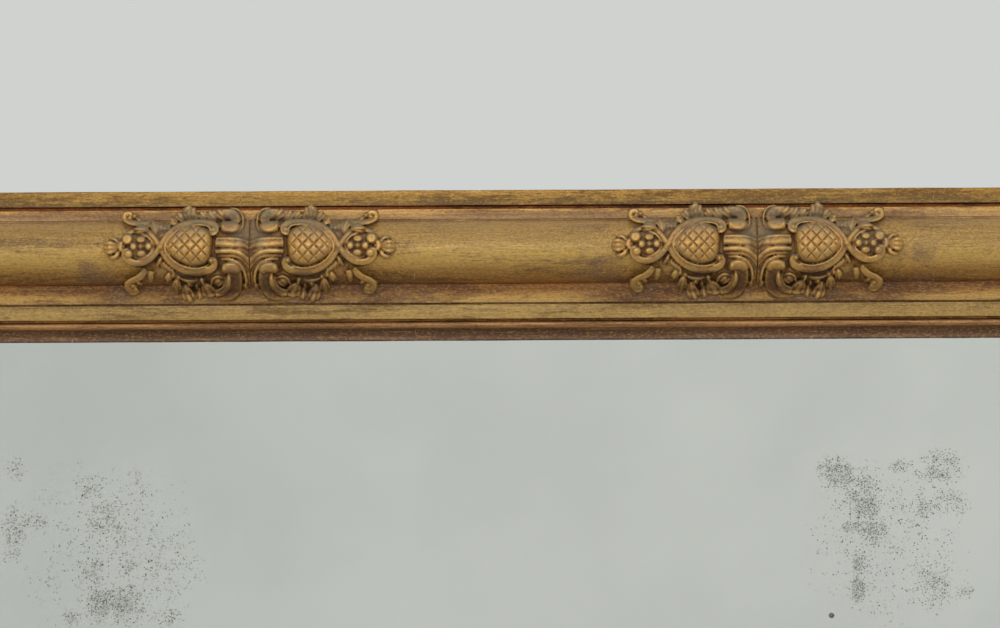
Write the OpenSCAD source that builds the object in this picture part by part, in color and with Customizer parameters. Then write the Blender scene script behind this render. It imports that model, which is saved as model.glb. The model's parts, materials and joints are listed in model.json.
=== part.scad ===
// Gilt overmantel mirror: a built-up pine frame with applied composition cartouches and a silvered plate.
// Each side of the frame is drawn in its own flat space and then turned into place:
//   x runs along the side, y is minus the distance in from the outer edge, z is the distance forward of the wall.
// The finished mirror stands on its lower edge at z = 0, faces -y, and is centred on x and y.

/* [Overall size] */
// Width over the outer edges
frame_w = 1300; // [1240:5:2400]
// Height over the outer edges
frame_h = 900; // [860:4:2000]

/* [Edge strip] */
// Width of the flat strip round the outside
edge_w = 12.4; // [8:0.2:20]
// How far its face stands forward of the wall
edge_front = 60; // [56:1:72]

/* [Torus moulding] */
// Width of the dark groove inside the edge strip
groove_w = 2.4; // [2.2:0.2:5]
// Floor of that groove, forward of the wall
groove_floor = 52; // [46:1:54]
// Width of the upper fillet
upper_fillet_w = 8.4; // [8.2:0.2:14]
// Face of the upper fillet, forward of the wall
upper_fillet_front = 57; // [55:0.5:60]
// Width of the fine quirks beside the fillets
quirk_w = 1; // [0.8:0.1:2]
// Depth of those quirks
quirk_d = 2; // [1:0.5:4]
// Width of the torus
torus_w = 50.4; // [47.2:0.4:50.8]
// Radius of the torus
torus_r = 28; // [27:0.5:34]
// From the torus's upper edge to its crest
torus_crest = 23.4; // [22.6:0.2:26]
// Height of the torus's axis, forward of the wall
torus_axis = 40; // [38:1:44]
// Width of the flat below the torus
flat_w = 14.8; // [10:0.4:24]
// Face of that flat, forward of the wall
flat_front = 47; // [45:0.5:50]
// Width of the lower fillet
lower_fillet_w = 11.8; // [8:0.2:18]
// Face of the lower fillet, forward of the wall
lower_fillet_front = 45.4; // [42:0.2:47]
// Width of the groove that the sight slip stands in
slip_groove_w = 2; // [1.2:0.2:4]
// Floor of that groove, forward of the wall
slip_groove_floor = 39; // [34:1:41]

/* [Sight slip] */
// Width of the slip's rounded bead
bead_w = 4.8; // [3.6:0.2:7]
// Top of the bead, forward of the wall
bead_front = 43.6; // [42:0.2:46]
// Radius of the hollow that falls to the sight edge
cove_r = 7.8; // [5:0.2:8]
// Width of the flat lip at the sight edge
lip_w = 3; // [2:0.2:6]
// Face of the lip, forward of the wall
lip_front = 35; // [32:0.5:36]
// Wall of the slip outside its rebate
slip_wall = 4; // [3:0.5:5]

/* [Mirror plate] */
// Thickness of the glass
plate_t = 5; // [3:0.5:6]
// Thickness of the silvering and its paint
silver_t = 0.2; // [0.1:0.1:0.5]
// Gap between the plate's edge and the rebate
plate_gap = 2; // [1:0.5:4]

/* [Back frame] */
// Thickness of the back frame
back_t = 24; // [22:1:28]
// How far its members stop short of the sight slip
back_reveal = 4.2; // [1:0.2:10]
// How far it is set in from the moulding's top and sides
back_inset = 6; // [3:1:12]
// Thickness of the backboards
board_t = 6; // [5:0.5:7]
// How far the backboards reach over the back frame
board_rebate = 12; // [8:1:20]
// Gap round the backboards and between them
board_gap = 1; // [0.5:0.5:3]
// How far the softwood blocks reach over the plate
block_bite = 8; // [5:0.5:9]
// Height of those blocks behind the plate
block_h = 13; // [8:1:14]
// Length of those blocks
block_len = 50; // [30:5:80]
// Pitch of those blocks
block_pitch = 205; // [120:5:210]
// Thickness of the keys let into the mitres
key_t = 3; // [2:0.5:5]
// Leg of those keys
key_leg = 44; // [30:1:55]
// Middle of those keys, forward of the wall
key_level = 40; // [34:1:42]

/* [Fixings] */
// Radius of the frame screws
screw_r = 2.2; // [1.5:0.1:3]
// Radius of their heads
screw_head_r = 4.4; // [3.5:0.1:6]
// How far they reach forward of the wall
screw_reach = 45; // [32:1:46]
// Their distance in from the outer edge
screw_line = 50; // [44:1:54]
// Distance of the end screws from the corners
screw_end = 170; // [140:5:180]
// Length of the screws in the corner laps
lap_screw_len = 20; // [14:1:21]
// Their distance in from the two outer edges
lap_screw_near = 30; // [22:1:36]
// The same, for the other edge
lap_screw_far = 72; // [64:1:80]
// Radius of the backboard nails
nail_r = 0.9; // [0.6:0.1:1.4]
// Radius of their heads
nail_head_r = 2.2; // [1.8:0.1:3]
// Length of the nails
nail_len = 18; // [14:1:19]
// Distance of the end nails from the ends of the boards
nail_end = 20; // [18:1:60]

/* [Hangers] */
// Distance of the hangers below the top of the frame
hanger_drop = 250; // [240:5:260]
// Distance of the hangers in from the outer edge
hanger_line = 50; // [40:1:60]
// Radius of the ring's wire
wire_r = 2; // [1.5:0.1:2.4]
// Radius of the ring, at the middle of its wire
ring_r = 15; // [14:0.5:17]
// Thickness of the strap
strap_t = 1.5; // [1:0.1:2]
// Width of the strap
strap_w = 20; // [16:1:22]
// Length of the strap below the ring's axis
strap_len = 46; // [42:1:56]
// Running clearance of the ring in its eye
ring_clear = 0.08; // [0.05:0.01:0.1]
// Gap between the ring and the face of the strap
ring_gap = 0.4; // [0.3:0.1:0.8]
// How far the hanger lies forward of the wall
hanger_inset = 0.1; // [0.1:0.1:2]
// Radius of the strap's screws
strap_screw_r = 1.7; // [1.2:0.1:2]
// Radius of their heads
strap_screw_head_r = 3.4; // [2.8:0.1:3.8]
// Length of those screws
strap_screw_len = 12; // [8:1:12]

/* [Ornaments] */
// How far the ornaments' middle line lies outside the crest of the torus
ornament_offset = 3.8; // [3:0.2:4.2]
// Distance of the two rail ornaments from the middle of the rail
ornament_x = 200; // [130:0.5:210]
// Gap between the two halves of an ornament
half_gap = 1; // [0.4:0.2:2]
// Glue line under the ornaments
glue_line = 0.05; // [0.02:0.01:0.1]
// Thickness of the leafy ground
ground_t = 3; // [2:0.5:4]
// Thickness of the taller leaves on it
leaf_t = 5.5; // [5:0.5:8]
// Height of the two scrolls over the moulding
scroll_h = 8; // [6:0.5:10]
// Height of the reeds over the moulding
reed_h = 6; // [5:0.5:9]
// Pitch of the reeds
reed_pitch = 6; // [4:0.5:7]
// Height of the cartouche's crown over the crest of the torus
ornament_rise = 14; // [12:0.5:18]
// Outer radius of the cartouche
cartouche_r = 20.5; // [18:0.5:21]
// From the joint to the middle of the cartouche
cartouche_u = 46; // [44:0.5:48]
// From the middle of the cartouche to its point
cartouche_point = 30; // [28:0.5:32]
// Width of the cartouche's rim
rim_w = 4.4; // [3:0.2:6]
// Height of that rim over the moulding
rim_h = 8; // [6:0.5:10]
// Outer radius of the flower's heart
heart_r = 14; // [12:0.5:15]
// From the joint to the middle of the heart
heart_u = 85; // [83:0.5:88]
// From the middle of the heart to its point
heart_point = 20; // [18:0.5:22]
// Width of the heart's rim
heart_rim_w = 3.4; // [2.4:0.2:5]
// Height of that rim over the moulding
heart_rim_h = 6.5; // [6:0.5:8]
// Radius of the flower's petals
petal_r = 3.4; // [2.6:0.2:4]
// Radius of the bud at the tip
bud_r = 6.6; // [5:0.2:8]
// From the joint to the middle of the bud
bud_u = 108; // [106:0.5:110]
// Shift of the corner ornaments along their rails
corner_shift = 22; // [16:1:28]

/* [Hidden] */
$fn = 48;

// Sides of the frame, clockwise from the top as seen from the front.
SIDES = ["top", "right", "bottom", "left"];
TOP = SIDES[0];
RIGHT = SIDES[1];
BOTTOM = SIDES[2];
LEFT = SIDES[3];

// Distances in from the outer edge, strip by strip.
fillet_s = edge_w + groove_w;
torus_s = fillet_s + upper_fillet_w + quirk_w;
crest_s = torus_s + torus_crest;
flat_s = torus_s + torus_w;
lower_fillet_s = flat_s + flat_w + quirk_w;
slip_s = lower_fillet_s + lower_fillet_w + slip_groove_w;
slip_w = bead_w + cove_r + lip_w;
rail_w = slip_s + slip_w;

// Levels forward of the wall.
crest_front = torus_axis + torus_r;
depth = crest_front + ornament_rise;
plate_front = back_t + silver_t + plate_t;
eye_r = wire_r + ring_clear;
pivot_level = hanger_inset + strap_t + eye_r;
strap_face = pivot_level + wire_r + ring_gap;

// The stiles lie forward of the rails' backs, so that the hangers clear the wall. The backboards lie on them.
stile_back = strap_face + strap_t;
lap_level = (stile_back + back_t) / 2;
board_back = stile_back - board_t;

// The plate, the back frame's inner edge, and the backboards in their rebate.
plate_s = slip_s + slip_wall + plate_gap;
back_inner = slip_s - back_reveal;
block_leg = plate_s + block_bite - back_inner;
board_count = 4;
rebate_s = back_inner - board_rebate;
boards_h = frame_h - 2 * (rebate_s + board_gap);
board_h = (boards_h - (board_count - 1) * board_gap) / board_count;
board_w = frame_w - 2 * (rebate_s + board_gap);
nail_line = rebate_s + board_rebate / 2;

hanger_x = frame_w / 2 - hanger_line;
hanger_z = frame_h - hanger_drop;

// Clearance of screws and nails in their holes, and the overrun of cutting bodies.
pilot_gap = 0.05;
slack = 1;

// One unit of the ornaments' drawn outlines.
outline_unit = 1;

// The ornaments' middle line. Their raised parts start inside the leafy ground.
ornament_line = crest_s - ornament_offset;
ground_bite = ground_t / 2;
ornament_len = bud_u + bud_r;

gold = [0.68, 0.52, 0.27];
worn_gold = [0.58, 0.42, 0.24];
pine = [0.76, 0.60, 0.40];
dark_pine = [0.52, 0.38, 0.25];
hardwood = [0.50, 0.33, 0.20];
glass = [0.78, 0.85, 0.82];
silver = [0.74, 0.77, 0.76];
brass = [0.66, 0.52, 0.28];
iron = [0.34, 0.33, 0.32];

// ---------- placing ----------

function is_rail(side) = side == TOP || side == BOTTOM;

// Length of a side over its outer edges, and of the two sides that it joins.
function side_len(side) = is_rail(side) ? frame_w : frame_h;
function next_len(side) = is_rail(side) ? frame_h : frame_w;

// Turns one side's flat space into its place on the standing mirror.
module on_side(side) {
    translate([0, depth / 2, frame_h / 2])
        rotate([0, 90 * search([side], SIDES)[0], 0])
            translate([0, 0, next_len(side) / 2])
                rotate([90, 0, 0])
                    children();
}

// A block given by its x, z and forward ranges on the standing mirror.
module timber(x, z, front) {
    translate([min(x), depth / 2 - max(front), min(z)])
        cube([max(x) - min(x), max(front) - min(front), max(z) - min(z)]);
}

// A round or tapered piece that points forward from one level to another.
module forward_pin(from, to, r, tip_r = undef) {
    translate([0, depth / 2 - from, 0])
        rotate([90, 0, 0])
            cylinder(h = to - from, r1 = r, r2 = is_undef(tip_r) ? r : tip_r);
}

// The space of one side between its two mitres.
module mitre_wedge(length) {
    half = length / 2;
    reach = rail_w + slack;
    linear_extrude(depth + slack)
        polygon([[-half, 0], [half, 0], [half - reach, -reach], [-half + reach, -reach]]);
}

// Draws its children's section along a side and cuts both ends at the mitres.
module mitred_length(side) {
    length = side_len(side);
    intersection() {
        translate([-length / 2, 0, 0])
            rotate([90, 0, 90])
                linear_extrude(length) children();
        mitre_wedge(length);
    }
}

// ---------- sections: x is minus the distance in, y is forward of the wall ----------

// A rectangle of a section, from s inwards.
module section_step(s, width, front, back = back_t) {
    translate([-s - width, back]) square([width, front - back]);
}

module edge_section() {
    section_step(0, edge_w, edge_front);
}

// The torus's round face, standing forward by grow.
module torus_face(grow = 0) {
    intersection() {
        translate([-crest_s, torus_axis]) circle(torus_r + grow);
        section_step(torus_s, torus_w, crest_front + grow + slack, torus_axis - slack);
    }
}

module torus_section() {
    section_step(edge_w, groove_w, groove_floor);
    section_step(fillet_s, upper_fillet_w, upper_fillet_front);
    section_step(fillet_s + upper_fillet_w, quirk_w, upper_fillet_front - quirk_d);
    section_step(torus_s, torus_w, torus_axis);
    torus_face();
    section_step(flat_s, flat_w, flat_front);
    section_step(flat_s + flat_w, quirk_w, lower_fillet_front - quirk_d);
    section_step(lower_fillet_s, lower_fillet_w, lower_fillet_front);
    section_step(lower_fillet_s + lower_fillet_w, slip_groove_w, slip_groove_floor);
}

module slip_section() {
    bead_r = bead_w / 2;
    difference() {
        union() {
            section_step(slip_s, bead_w, bead_front - bead_r);
            translate([-slip_s - bead_r, bead_front - bead_r]) circle(bead_r);
            section_step(slip_s + bead_w, cove_r, lip_front + cove_r - quirk_d / 2);
            section_step(slip_s + bead_w + cove_r, lip_w, lip_front);
        }
        translate([-slip_s - bead_w - cove_r, lip_front + cove_r]) circle(cove_r);
        section_step(slip_s + slip_wall, slip_w, plate_front, back_t - slack);
    }
}

// ---------- frame ----------

// A three-cornered key in the plane of the frame, at one end of a side.
module mitre_key_shape(side, end) {
    translate([end * side_len(side) / 2, 0, key_level - key_t / 2])
        linear_extrude(key_t)
            polygon([[0, 0], [-end * key_leg, 0], [0, -key_leg]]);
}

module edge_strip(side) {
    color(gold)
        on_side(side)
            difference() {
                mitred_length(side) edge_section();
                for (end = [-1, 1]) mitre_key_shape(side, end);
            }
}

module torus_moulding(side) {
    color(gold)
        difference() {
            on_side(side)
                difference() {
                    mitred_length(side) torus_section();
                    for (end = [-1, 1]) mitre_key_shape(side, end);
                }
            each_frame_screw(side) countersunk_hole(0, screw_reach, screw_r, screw_head_r);
        }
}

module sight_slip(side) {
    color(worn_gold)
        on_side(side)
            mitred_length(side) slip_section();
}

module mitre_key(side, end) {
    color(hardwood)
        on_side(side) mitre_key_shape(side, end);
}

// The rails lap behind the stiles. The lower one runs down to the shelf.
module back_rail(side) {
    z = side == TOP ? [frame_h - back_inner, frame_h - back_inset] : [0, back_inner];
    half = frame_w / 2 - back_inset;
    color(pine)
        difference() {
            timber([-half, half], z, [0, back_t]);
            for (end = [-1, 1])
                timber(end * [frame_w / 2 - back_inner, frame_w / 2], [-slack, frame_h + slack],
                       [lap_level, back_t + slack]);
            board_rebate_cut();
            each_frame_screw(side) countersunk_hole(0, screw_reach, screw_r, screw_head_r);
            each_lap_screw(side == TOP ? 1 : -1, 0) countersunk_hole(0, lap_screw_len, screw_r, screw_head_r);
            each_rail_nail(side == TOP ? 1 : -1) nail_hole();
        }
}

module back_stile(hand) {
    x = hand * [frame_w / 2 - back_inner, frame_w / 2 - back_inset];
    lap_x = x + slack * [-hand, hand];
    color(pine)
        difference() {
            timber(x, [0, frame_h - back_inset], [stile_back, back_t]);
            timber(lap_x, [-slack, back_inner], [stile_back - slack, lap_level]);
            timber(lap_x, [frame_h - back_inner, frame_h], [stile_back - slack, lap_level]);
            each_frame_screw(hand > 0 ? RIGHT : LEFT)
                countersunk_hole(stile_back, screw_reach - stile_back, screw_r, screw_head_r);
            for (up = [-1, 1]) each_lap_screw(up, hand) countersunk_hole(0, lap_screw_len, screw_r, screw_head_r);
            each_stile_nail(hand) nail_hole();
            each_strap_screw(hand) strap_screw_hole();
        }
}

// The rebate along the rails' inner edges that takes the backboards.
module board_rebate_cut() {
    timber([-frame_w / 2 + rebate_s, frame_w / 2 - rebate_s], [rebate_s, frame_h - rebate_s],
           [-slack, stile_back]);
}

module backboard(i) {
    z = rebate_s + board_gap + i * (board_h + board_gap);
    color(dark_pine)
        difference() {
            timber([-board_w / 2, board_w / 2], [z, z + board_h], [board_back, stile_back]);
            for (hand = [-1, 1]) each_stile_nail(hand) nail_hole();
            for (up = [-1, 1]) each_rail_nail(up) nail_hole();
        }
}

// ---------- plate ----------

module mirror_plate() {
    color(glass)
        timber([-frame_w / 2 + plate_s, frame_w / 2 - plate_s], [plate_s, frame_h - plate_s],
               [back_t + silver_t, plate_front]);
}

module silvering() {
    color(silver)
        timber([-frame_w / 2 + plate_s, frame_w / 2 - plate_s], [plate_s, frame_h - plate_s],
               [back_t, back_t + silver_t]);
}

function pitch_count(length, pitch) = floor((length - 2 * back_inner - 2 * block_leg - block_len) / pitch) + 1;

module plate_blocks() {
    color(pine)
        for (side = SIDES) {
            count = pitch_count(side_len(side), block_pitch);
            on_side(side)
                for (i = [0 : count - 1])
                    translate([(i - (count - 1) / 2) * block_pitch - block_len / 2, 0, 0])
                        rotate([90, 0, 90])
                            linear_extrude(block_len)
                                polygon([[-back_inner, back_t],
                                         [-back_inner - block_leg, back_t],
                                         [-back_inner, back_t - block_h]]);
        }
}

// ---------- fixings ----------

// Places spread evenly along a length, from one end to the other, with its middle at 0.
function spread(count, length, end) = [for (i = [0 : count - 1]) (i / (count - 1) - 1 / 2) * (length - 2 * end)];

// Repeats its children at each screw that holds a back frame member to the moulding.
module each_frame_screw(side) {
    if (is_rail(side))
        for (along = spread(4, frame_w, screw_end))
            translate([along, 0, side == TOP ? frame_h - screw_line : screw_line]) children();
    else
        for (along = spread(3, frame_h, screw_end))
            translate([(side == RIGHT ? 1 : -1) * (frame_w / 2 - screw_line), 0, frame_h / 2 + along])
                children();
}

module countersunk_screw(level, length, r, head_r) {
    neck = level + head_r - r;
    forward_pin(level, neck, head_r, r);
    forward_pin(neck, level + length, r);
}

// The hole for such a screw, with its way in from behind.
module countersunk_hole(level, length, r, head_r) {
    forward_pin(-slack, level, head_r + pilot_gap);
    countersunk_screw(level, length + pilot_gap, r + pilot_gap, head_r + pilot_gap);
}

module frame_screws() {
    color(iron)
        for (side = SIDES) {
            level = is_rail(side) ? 0 : stile_back;
            each_frame_screw(side) countersunk_screw(level, screw_reach - level, screw_r, screw_head_r);
        }
}

// Repeats its children at the two screws of one corner lap, or of both corners of a rail when hand is 0.
module each_lap_screw(up, hand) {
    for (side = hand == 0 ? [-1, 1] : [hand])
        for (spot = [[lap_screw_near, lap_screw_far], [lap_screw_far, lap_screw_near]])
            translate([side * (frame_w / 2 - spot[0]), 0, up > 0 ? frame_h - spot[1] : spot[1]]) children();
}

module lap_screws() {
    color(iron)
        for (up = [-1, 1])
            each_lap_screw(up, 0) countersunk_screw(0, lap_screw_len, screw_r, screw_head_r);
}

// Repeats its children at the two nails in each board's end, on one stile.
module each_stile_nail(hand) {
    for (i = [0 : board_count - 1])
        for (part = [-1, 1])
            translate([hand * (frame_w / 2 - nail_line), 0,
                       rebate_s + board_gap + i * (board_h + board_gap) + board_h / 2 + part * board_h / 3])
                children();
}

// Repeats its children at each nail along one rail.
module each_rail_nail(up) {
    for (along = spread(5, board_w, nail_end))
        translate([along, 0, up > 0 ? frame_h - nail_line : nail_line]) children();
}

module board_nail() {
    forward_pin(board_back / 2, board_back, nail_head_r);
    forward_pin(board_back, board_back + nail_len, nail_r);
}

module nail_hole() {
    forward_pin(-slack, board_back + nail_len + pilot_gap, nail_r + pilot_gap);
}

module backboard_nails() {
    color(iron) {
        for (hand = [-1, 1]) each_stile_nail(hand) board_nail();
        for (up = [-1, 1]) each_rail_nail(up) board_nail();
    }
}

// ---------- hangers ----------

module along_x(length, r) {
    rotate([0, 90, 0]) cylinder(h = length, r = r, center = true);
}

module hanger_strap(hand) {
    color(brass)
        difference() {
            union() {
                timber([hand * hanger_x - strap_w / 2, hand * hanger_x + strap_w / 2],
                       [hanger_z - strap_len, hanger_z], [strap_face, stile_back]);
                at_pivot(hand) along_x(strap_w, eye_r + strap_t);
            }
            at_pivot(hand) along_x(strap_w + slack, eye_r);
            each_strap_screw(hand) strap_screw_hole();
        }
}

module at_pivot(hand) {
    translate([hand * hanger_x, depth / 2 - pivot_level, hanger_z]) children();
}

// A half round of wire hanging from a straight bar that turns in the strap's eye.
module hanger_ring(hand) {
    color(brass)
        at_pivot(hand) {
            along_x(2 * ring_r, wire_r);
            rotate([90, 0, 0])
                rotate([0, 0, 180])
                    rotate_extrude(angle = 180) translate([ring_r, 0]) circle(wire_r);
            for (end = [-1, 1]) translate([end * ring_r, 0, 0]) sphere(wire_r);
        }
}

// Repeats its children at the two screws of a strap.
module each_strap_screw(hand) {
    low = strap_len - 2 * strap_screw_head_r;
    high = ring_r + wire_r + 2 * strap_screw_head_r;
    for (drop = [low, high]) translate([hand * hanger_x, 0, hanger_z - drop]) children();
}

module strap_screw_hole() {
    countersunk_hole(strap_face, strap_screw_len, strap_screw_r, strap_screw_head_r);
}

module hanger_screws() {
    color(iron)
        for (hand = [-1, 1])
            each_strap_screw(hand)
                countersunk_screw(strap_face, strap_screw_len, strap_screw_r, strap_screw_head_r);
}

// ---------- ornaments: x runs from the joint to the bud, y outwards, z forward of the wall ----------

// Level of the torus at y from the ornament's middle line.
function torus_level(y) = torus_axis + sqrt(torus_r * torus_r - pow(ornament_line - y - crest_s, 2));

// The moulding's surface under an ornament, without its quirks, grown forward and filled to the wall.
module bed_section(grow) {
    section_step(0, torus_s, upper_fillet_front + grow, 0);
    section_step(torus_s, torus_w, torus_axis, 0);
    torus_face(grow);
    section_step(flat_s, rail_w - flat_s, flat_front + grow, 0);
}

// Draws its children's section along an ornament and past both its ends.
module along_ornament() {
    translate([-rail_w, ornament_line, 0])
        rotate([90, 0, 90])
            linear_extrude(rail_w + ornament_len + slack) children();
}

// Cuts its children's outline out of the layer between two heights over the moulding.
module relief(from, to) {
    intersection() {
        along_ornament()
            difference() {
                bed_section(to);
                bed_section(from);
            }
        linear_extrude(depth + slack) children();
    }
}

// A round with a straight-sided point towards +x. The sides cross the round a little inside the tangent.
module teardrop(r, tip) {
    a = acos(r / tip);
    side = r * 0.96;
    circle(r);
    polygon([[tip, 0], [side * cos(a), side * sin(a)], [0, 0], [side * cos(a), -side * sin(a)]]);
}

module teardrop_rim(r, tip, width) {
    difference() {
        teardrop(r, tip);
        teardrop(r - width, tip - 1.6 * width);
    }
}

// A bar bent round a centre from one angle to another, with round ends.
module c_scroll(x, y, bend_r, width, from, to) {
    outer = bend_r + width / 2;
    middle = (from + to) / 2 + 180;
    translate([x, y]) {
        difference() {
            circle(outer);
            circle(bend_r - width / 2);
            polygon([[0, 0], 2 * outer * [cos(to), sin(to)], 2 * outer * [cos(middle), sin(middle)],
                     2 * outer * [cos(from), sin(from)]]);
        }
        for (a = [from, to])
            translate([bend_r * cos(a), bend_r * sin(a)]) circle(width * 0.56, $fn = 12);
    }
}

// Outline of the leafy ground, anticlockwise from the joint, with the tendrils at its far end.
GROUND = [
    [0, -14], [3, -32], [8, -35], [14, -42], [30, -42], [34, -38], [44, -36], [48, -43], [54, -34], [60, -35],
    [62, -26], [70, -22], [74, -28], [77, -20], [82, -19], [83, -26], [92, -29], [90, -35], [96, -38],
    [101, -32], [97, -26], [89, -23], [91, -16], [97, -11], [102, -9], [110, -5],
    [110, 5], [102, 9], [97, 11], [91, 17], [97, 19], [99, 24], [94, 27], [88, 23], [80, 21], [70, 20],
    [62, 24], [54, 27], [48, 31], [42, 27], [30, 29], [22, 30], [10, 30], [4, 25], [0, 12]
];

// The taller leaves along both edges of the ground.
LEAVES = [
    [[31, 20], [29, 29], [37, 26], [41, 29], [45, 27], [48, 31], [54, 26], [62, 23], [60, 14]],
    [[73, 10], [75, 20], [80, 18], [84, 21], [86, 14]],
    [[32, -20], [31, -36], [40, -34], [43, -37], [48, -42], [53, -33], [59, -34], [64, -20]],
    [[70, -10], [74, -27], [77, -19], [81, -18], [83, -14]]
];

module leaf_outline() {
    for (leaf = LEAVES) polygon(outline_unit * leaf);
}

module cartouche() {
    dome_r = cartouche_r - slack;
    relief(ground_bite, rim_h)
        translate([cartouche_u, 0]) teardrop_rim(cartouche_r, cartouche_point, rim_w);
    difference() {
        intersection() {
            translate([cartouche_u, 0, 0])
                linear_extrude(depth + slack)
                    teardrop(cartouche_r - rim_w / 2, cartouche_point - rim_w);
            translate([cartouche_u, 0, depth - dome_r]) sphere(dome_r);
        }
        along_ornament() bed_section(ground_bite);
    }
}

module heart() {
    relief(ground_bite, heart_rim_h)
        translate([heart_u, 0]) mirror([1, 0, 0]) teardrop_rim(heart_r, heart_point, heart_rim_w);
    relief(ground_bite, leaf_t)
        translate([heart_u, 0])
            for (a = [0 : 90 : 270])
                translate([petal_r * 1.2 * cos(a), petal_r * 1.2 * sin(a)]) circle(petal_r, $fn = 6);
    translate([heart_u, 0, torus_level(0) + leaf_t]) sphere(petal_r * 0.6);
}

// A round bud, cut flat below where the ground holds it.
module bud() {
    floor_level = torus_level(0) + ground_bite;
    intersection() {
        translate([bud_u, 0, floor_level + bud_r / 4]) sphere(bud_r);
        translate([bud_u - bud_r - slack, -bud_r - slack, floor_level]) cube(2 * (bud_r + slack));
    }
}

// The reeded band that runs into the joint between the two halves.
module reed_outline() {
    length = cartouche_u - cartouche_r;
    for (y = [-reed_pitch, 0, reed_pitch])
        translate([0, y - reed_pitch * 0.4]) square([length, reed_pitch * 0.8]);
}

module scroll_outline() {
    scale(outline_unit) {
        c_scroll(16, 19.4, 8, 6.6, 60, 300);
        c_scroll(21, -28, 12.6, 8, 100, 305);
    }
}

// One half of an ornament, laid on the moulding. Its joint is at x = 0.
module ornament_half() {
    relief(glue_line, ground_t) polygon(outline_unit * GROUND);
    relief(ground_bite, leaf_t) leaf_outline();
    relief(ground_bite, scroll_h) scroll_outline();
    relief(ground_bite, reed_h) reed_outline();
    cartouche();
    heart();
    bud();
}

// Half an ornament on a side, with its joint at x and its bud towards dir.
module rail_ornament(side, x, dir) {
    color(worn_gold)
        on_side(side)
            translate([x + dir * half_gap / 2, -ornament_line, 0])
                mirror([dir > 0 ? 0 : 1, 0, 0])
                    ornament_half();
}

// Half an ornament at one end of a side, cut at the mitre.
module corner_ornament(side, end) {
    length = side_len(side);
    mitre_x = length / 2 - ornament_line;
    color(worn_gold)
        on_side(side)
            intersection() {
                translate([end * (mitre_x - corner_shift), -ornament_line, 0])
                    mirror([end > 0 ? 1 : 0, 0, 0])
                        corner_half();
                mitre_wedge(length - sqrt(2) * half_gap);
            }
}

// The leaf that fans out towards the corner.
SHELL = [
    [8, -13], [-6, -22], [-14, -31], [-21, -30], [-24, -24], [-30, -22], [-33, -10], [-40, 0],
    [-33, 10], [-30, 22], [-24, 24], [-21, 30], [-14, 30], [-6, 22], [8, 13]
];

module corner_half() {
    relief(glue_line, ground_t) {
        polygon(outline_unit * GROUND);
        polygon(outline_unit * SHELL);
    }
    relief(ground_bite, leaf_t) leaf_outline();
    relief(ground_bite, scroll_h) scroll_outline();
    relief(ground_bite, reed_h) polygon(0.8 * outline_unit * SHELL);
    cartouche();
    heart();
    bud();
}

// ---------- the assembly ----------

edge_strip(TOP);  // edge_strip_top
edge_strip(RIGHT);  // edge_strip_right
edge_strip(BOTTOM);  // edge_strip_bottom
edge_strip(LEFT);  // edge_strip_left
torus_moulding(TOP);  // torus_moulding_top
torus_moulding(RIGHT);  // torus_moulding_right
torus_moulding(BOTTOM);  // torus_moulding_bottom
torus_moulding(LEFT);  // torus_moulding_left
sight_slip(TOP);  // sight_slip_top
sight_slip(RIGHT);  // sight_slip_right
sight_slip(BOTTOM);  // sight_slip_bottom
sight_slip(LEFT);  // sight_slip_left
back_rail(TOP);  // back_rail_top
back_rail(BOTTOM);  // back_rail_bottom
back_stile(-1);  // back_stile_left
back_stile(1);  // back_stile_right
mitre_key(TOP, -1);  // mitre_key_top_left
mitre_key(TOP, 1);  // mitre_key_top_right
mitre_key(BOTTOM, 1);  // mitre_key_bottom_left
mitre_key(BOTTOM, -1);  // mitre_key_bottom_right
mirror_plate();
silvering();
plate_blocks();
backboard(0);  // backboard_1
backboard(1);  // backboard_2
backboard(2);  // backboard_3
backboard(3);  // backboard_4
frame_screws();
lap_screws();
backboard_nails();
hanger_strap(-1);  // hanger_strap_left
hanger_strap(1);  // hanger_strap_right
hanger_ring(-1);  // hanger_ring_left
hanger_ring(1);  // hanger_ring_right
hanger_screws();
rail_ornament(TOP, -ornament_x, -1);  // cartouche_top_left_a
rail_ornament(TOP, -ornament_x, 1);  // cartouche_top_left_b
rail_ornament(TOP, ornament_x, -1);  // cartouche_top_right_a
rail_ornament(TOP, ornament_x, 1);  // cartouche_top_right_b
rail_ornament(BOTTOM, ornament_x, 1);  // cartouche_bottom_left_a
rail_ornament(BOTTOM, ornament_x, -1);  // cartouche_bottom_left_b
rail_ornament(BOTTOM, -ornament_x, 1);  // cartouche_bottom_right_a
rail_ornament(BOTTOM, -ornament_x, -1);  // cartouche_bottom_right_b
rail_ornament(LEFT, 0, 1);  // cartouche_left_a
rail_ornament(LEFT, 0, -1);  // cartouche_left_b
rail_ornament(RIGHT, 0, -1);  // cartouche_right_a
rail_ornament(RIGHT, 0, 1);  // cartouche_right_b
corner_ornament(TOP, -1);  // corner_top_left_a
corner_ornament(LEFT, 1);  // corner_top_left_b
corner_ornament(TOP, 1);  // corner_top_right_a
corner_ornament(RIGHT, -1);  // corner_top_right_b
corner_ornament(BOTTOM, 1);  // corner_bottom_left_a
corner_ornament(LEFT, -1);  // corner_bottom_left_b
corner_ornament(BOTTOM, -1);  // corner_bottom_right_a
corner_ornament(RIGHT, 1);  // corner_bottom_right_b
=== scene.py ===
import json
import math
import random

import bpy
import numpy as np
from mathutils import Matrix, Vector

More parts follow.
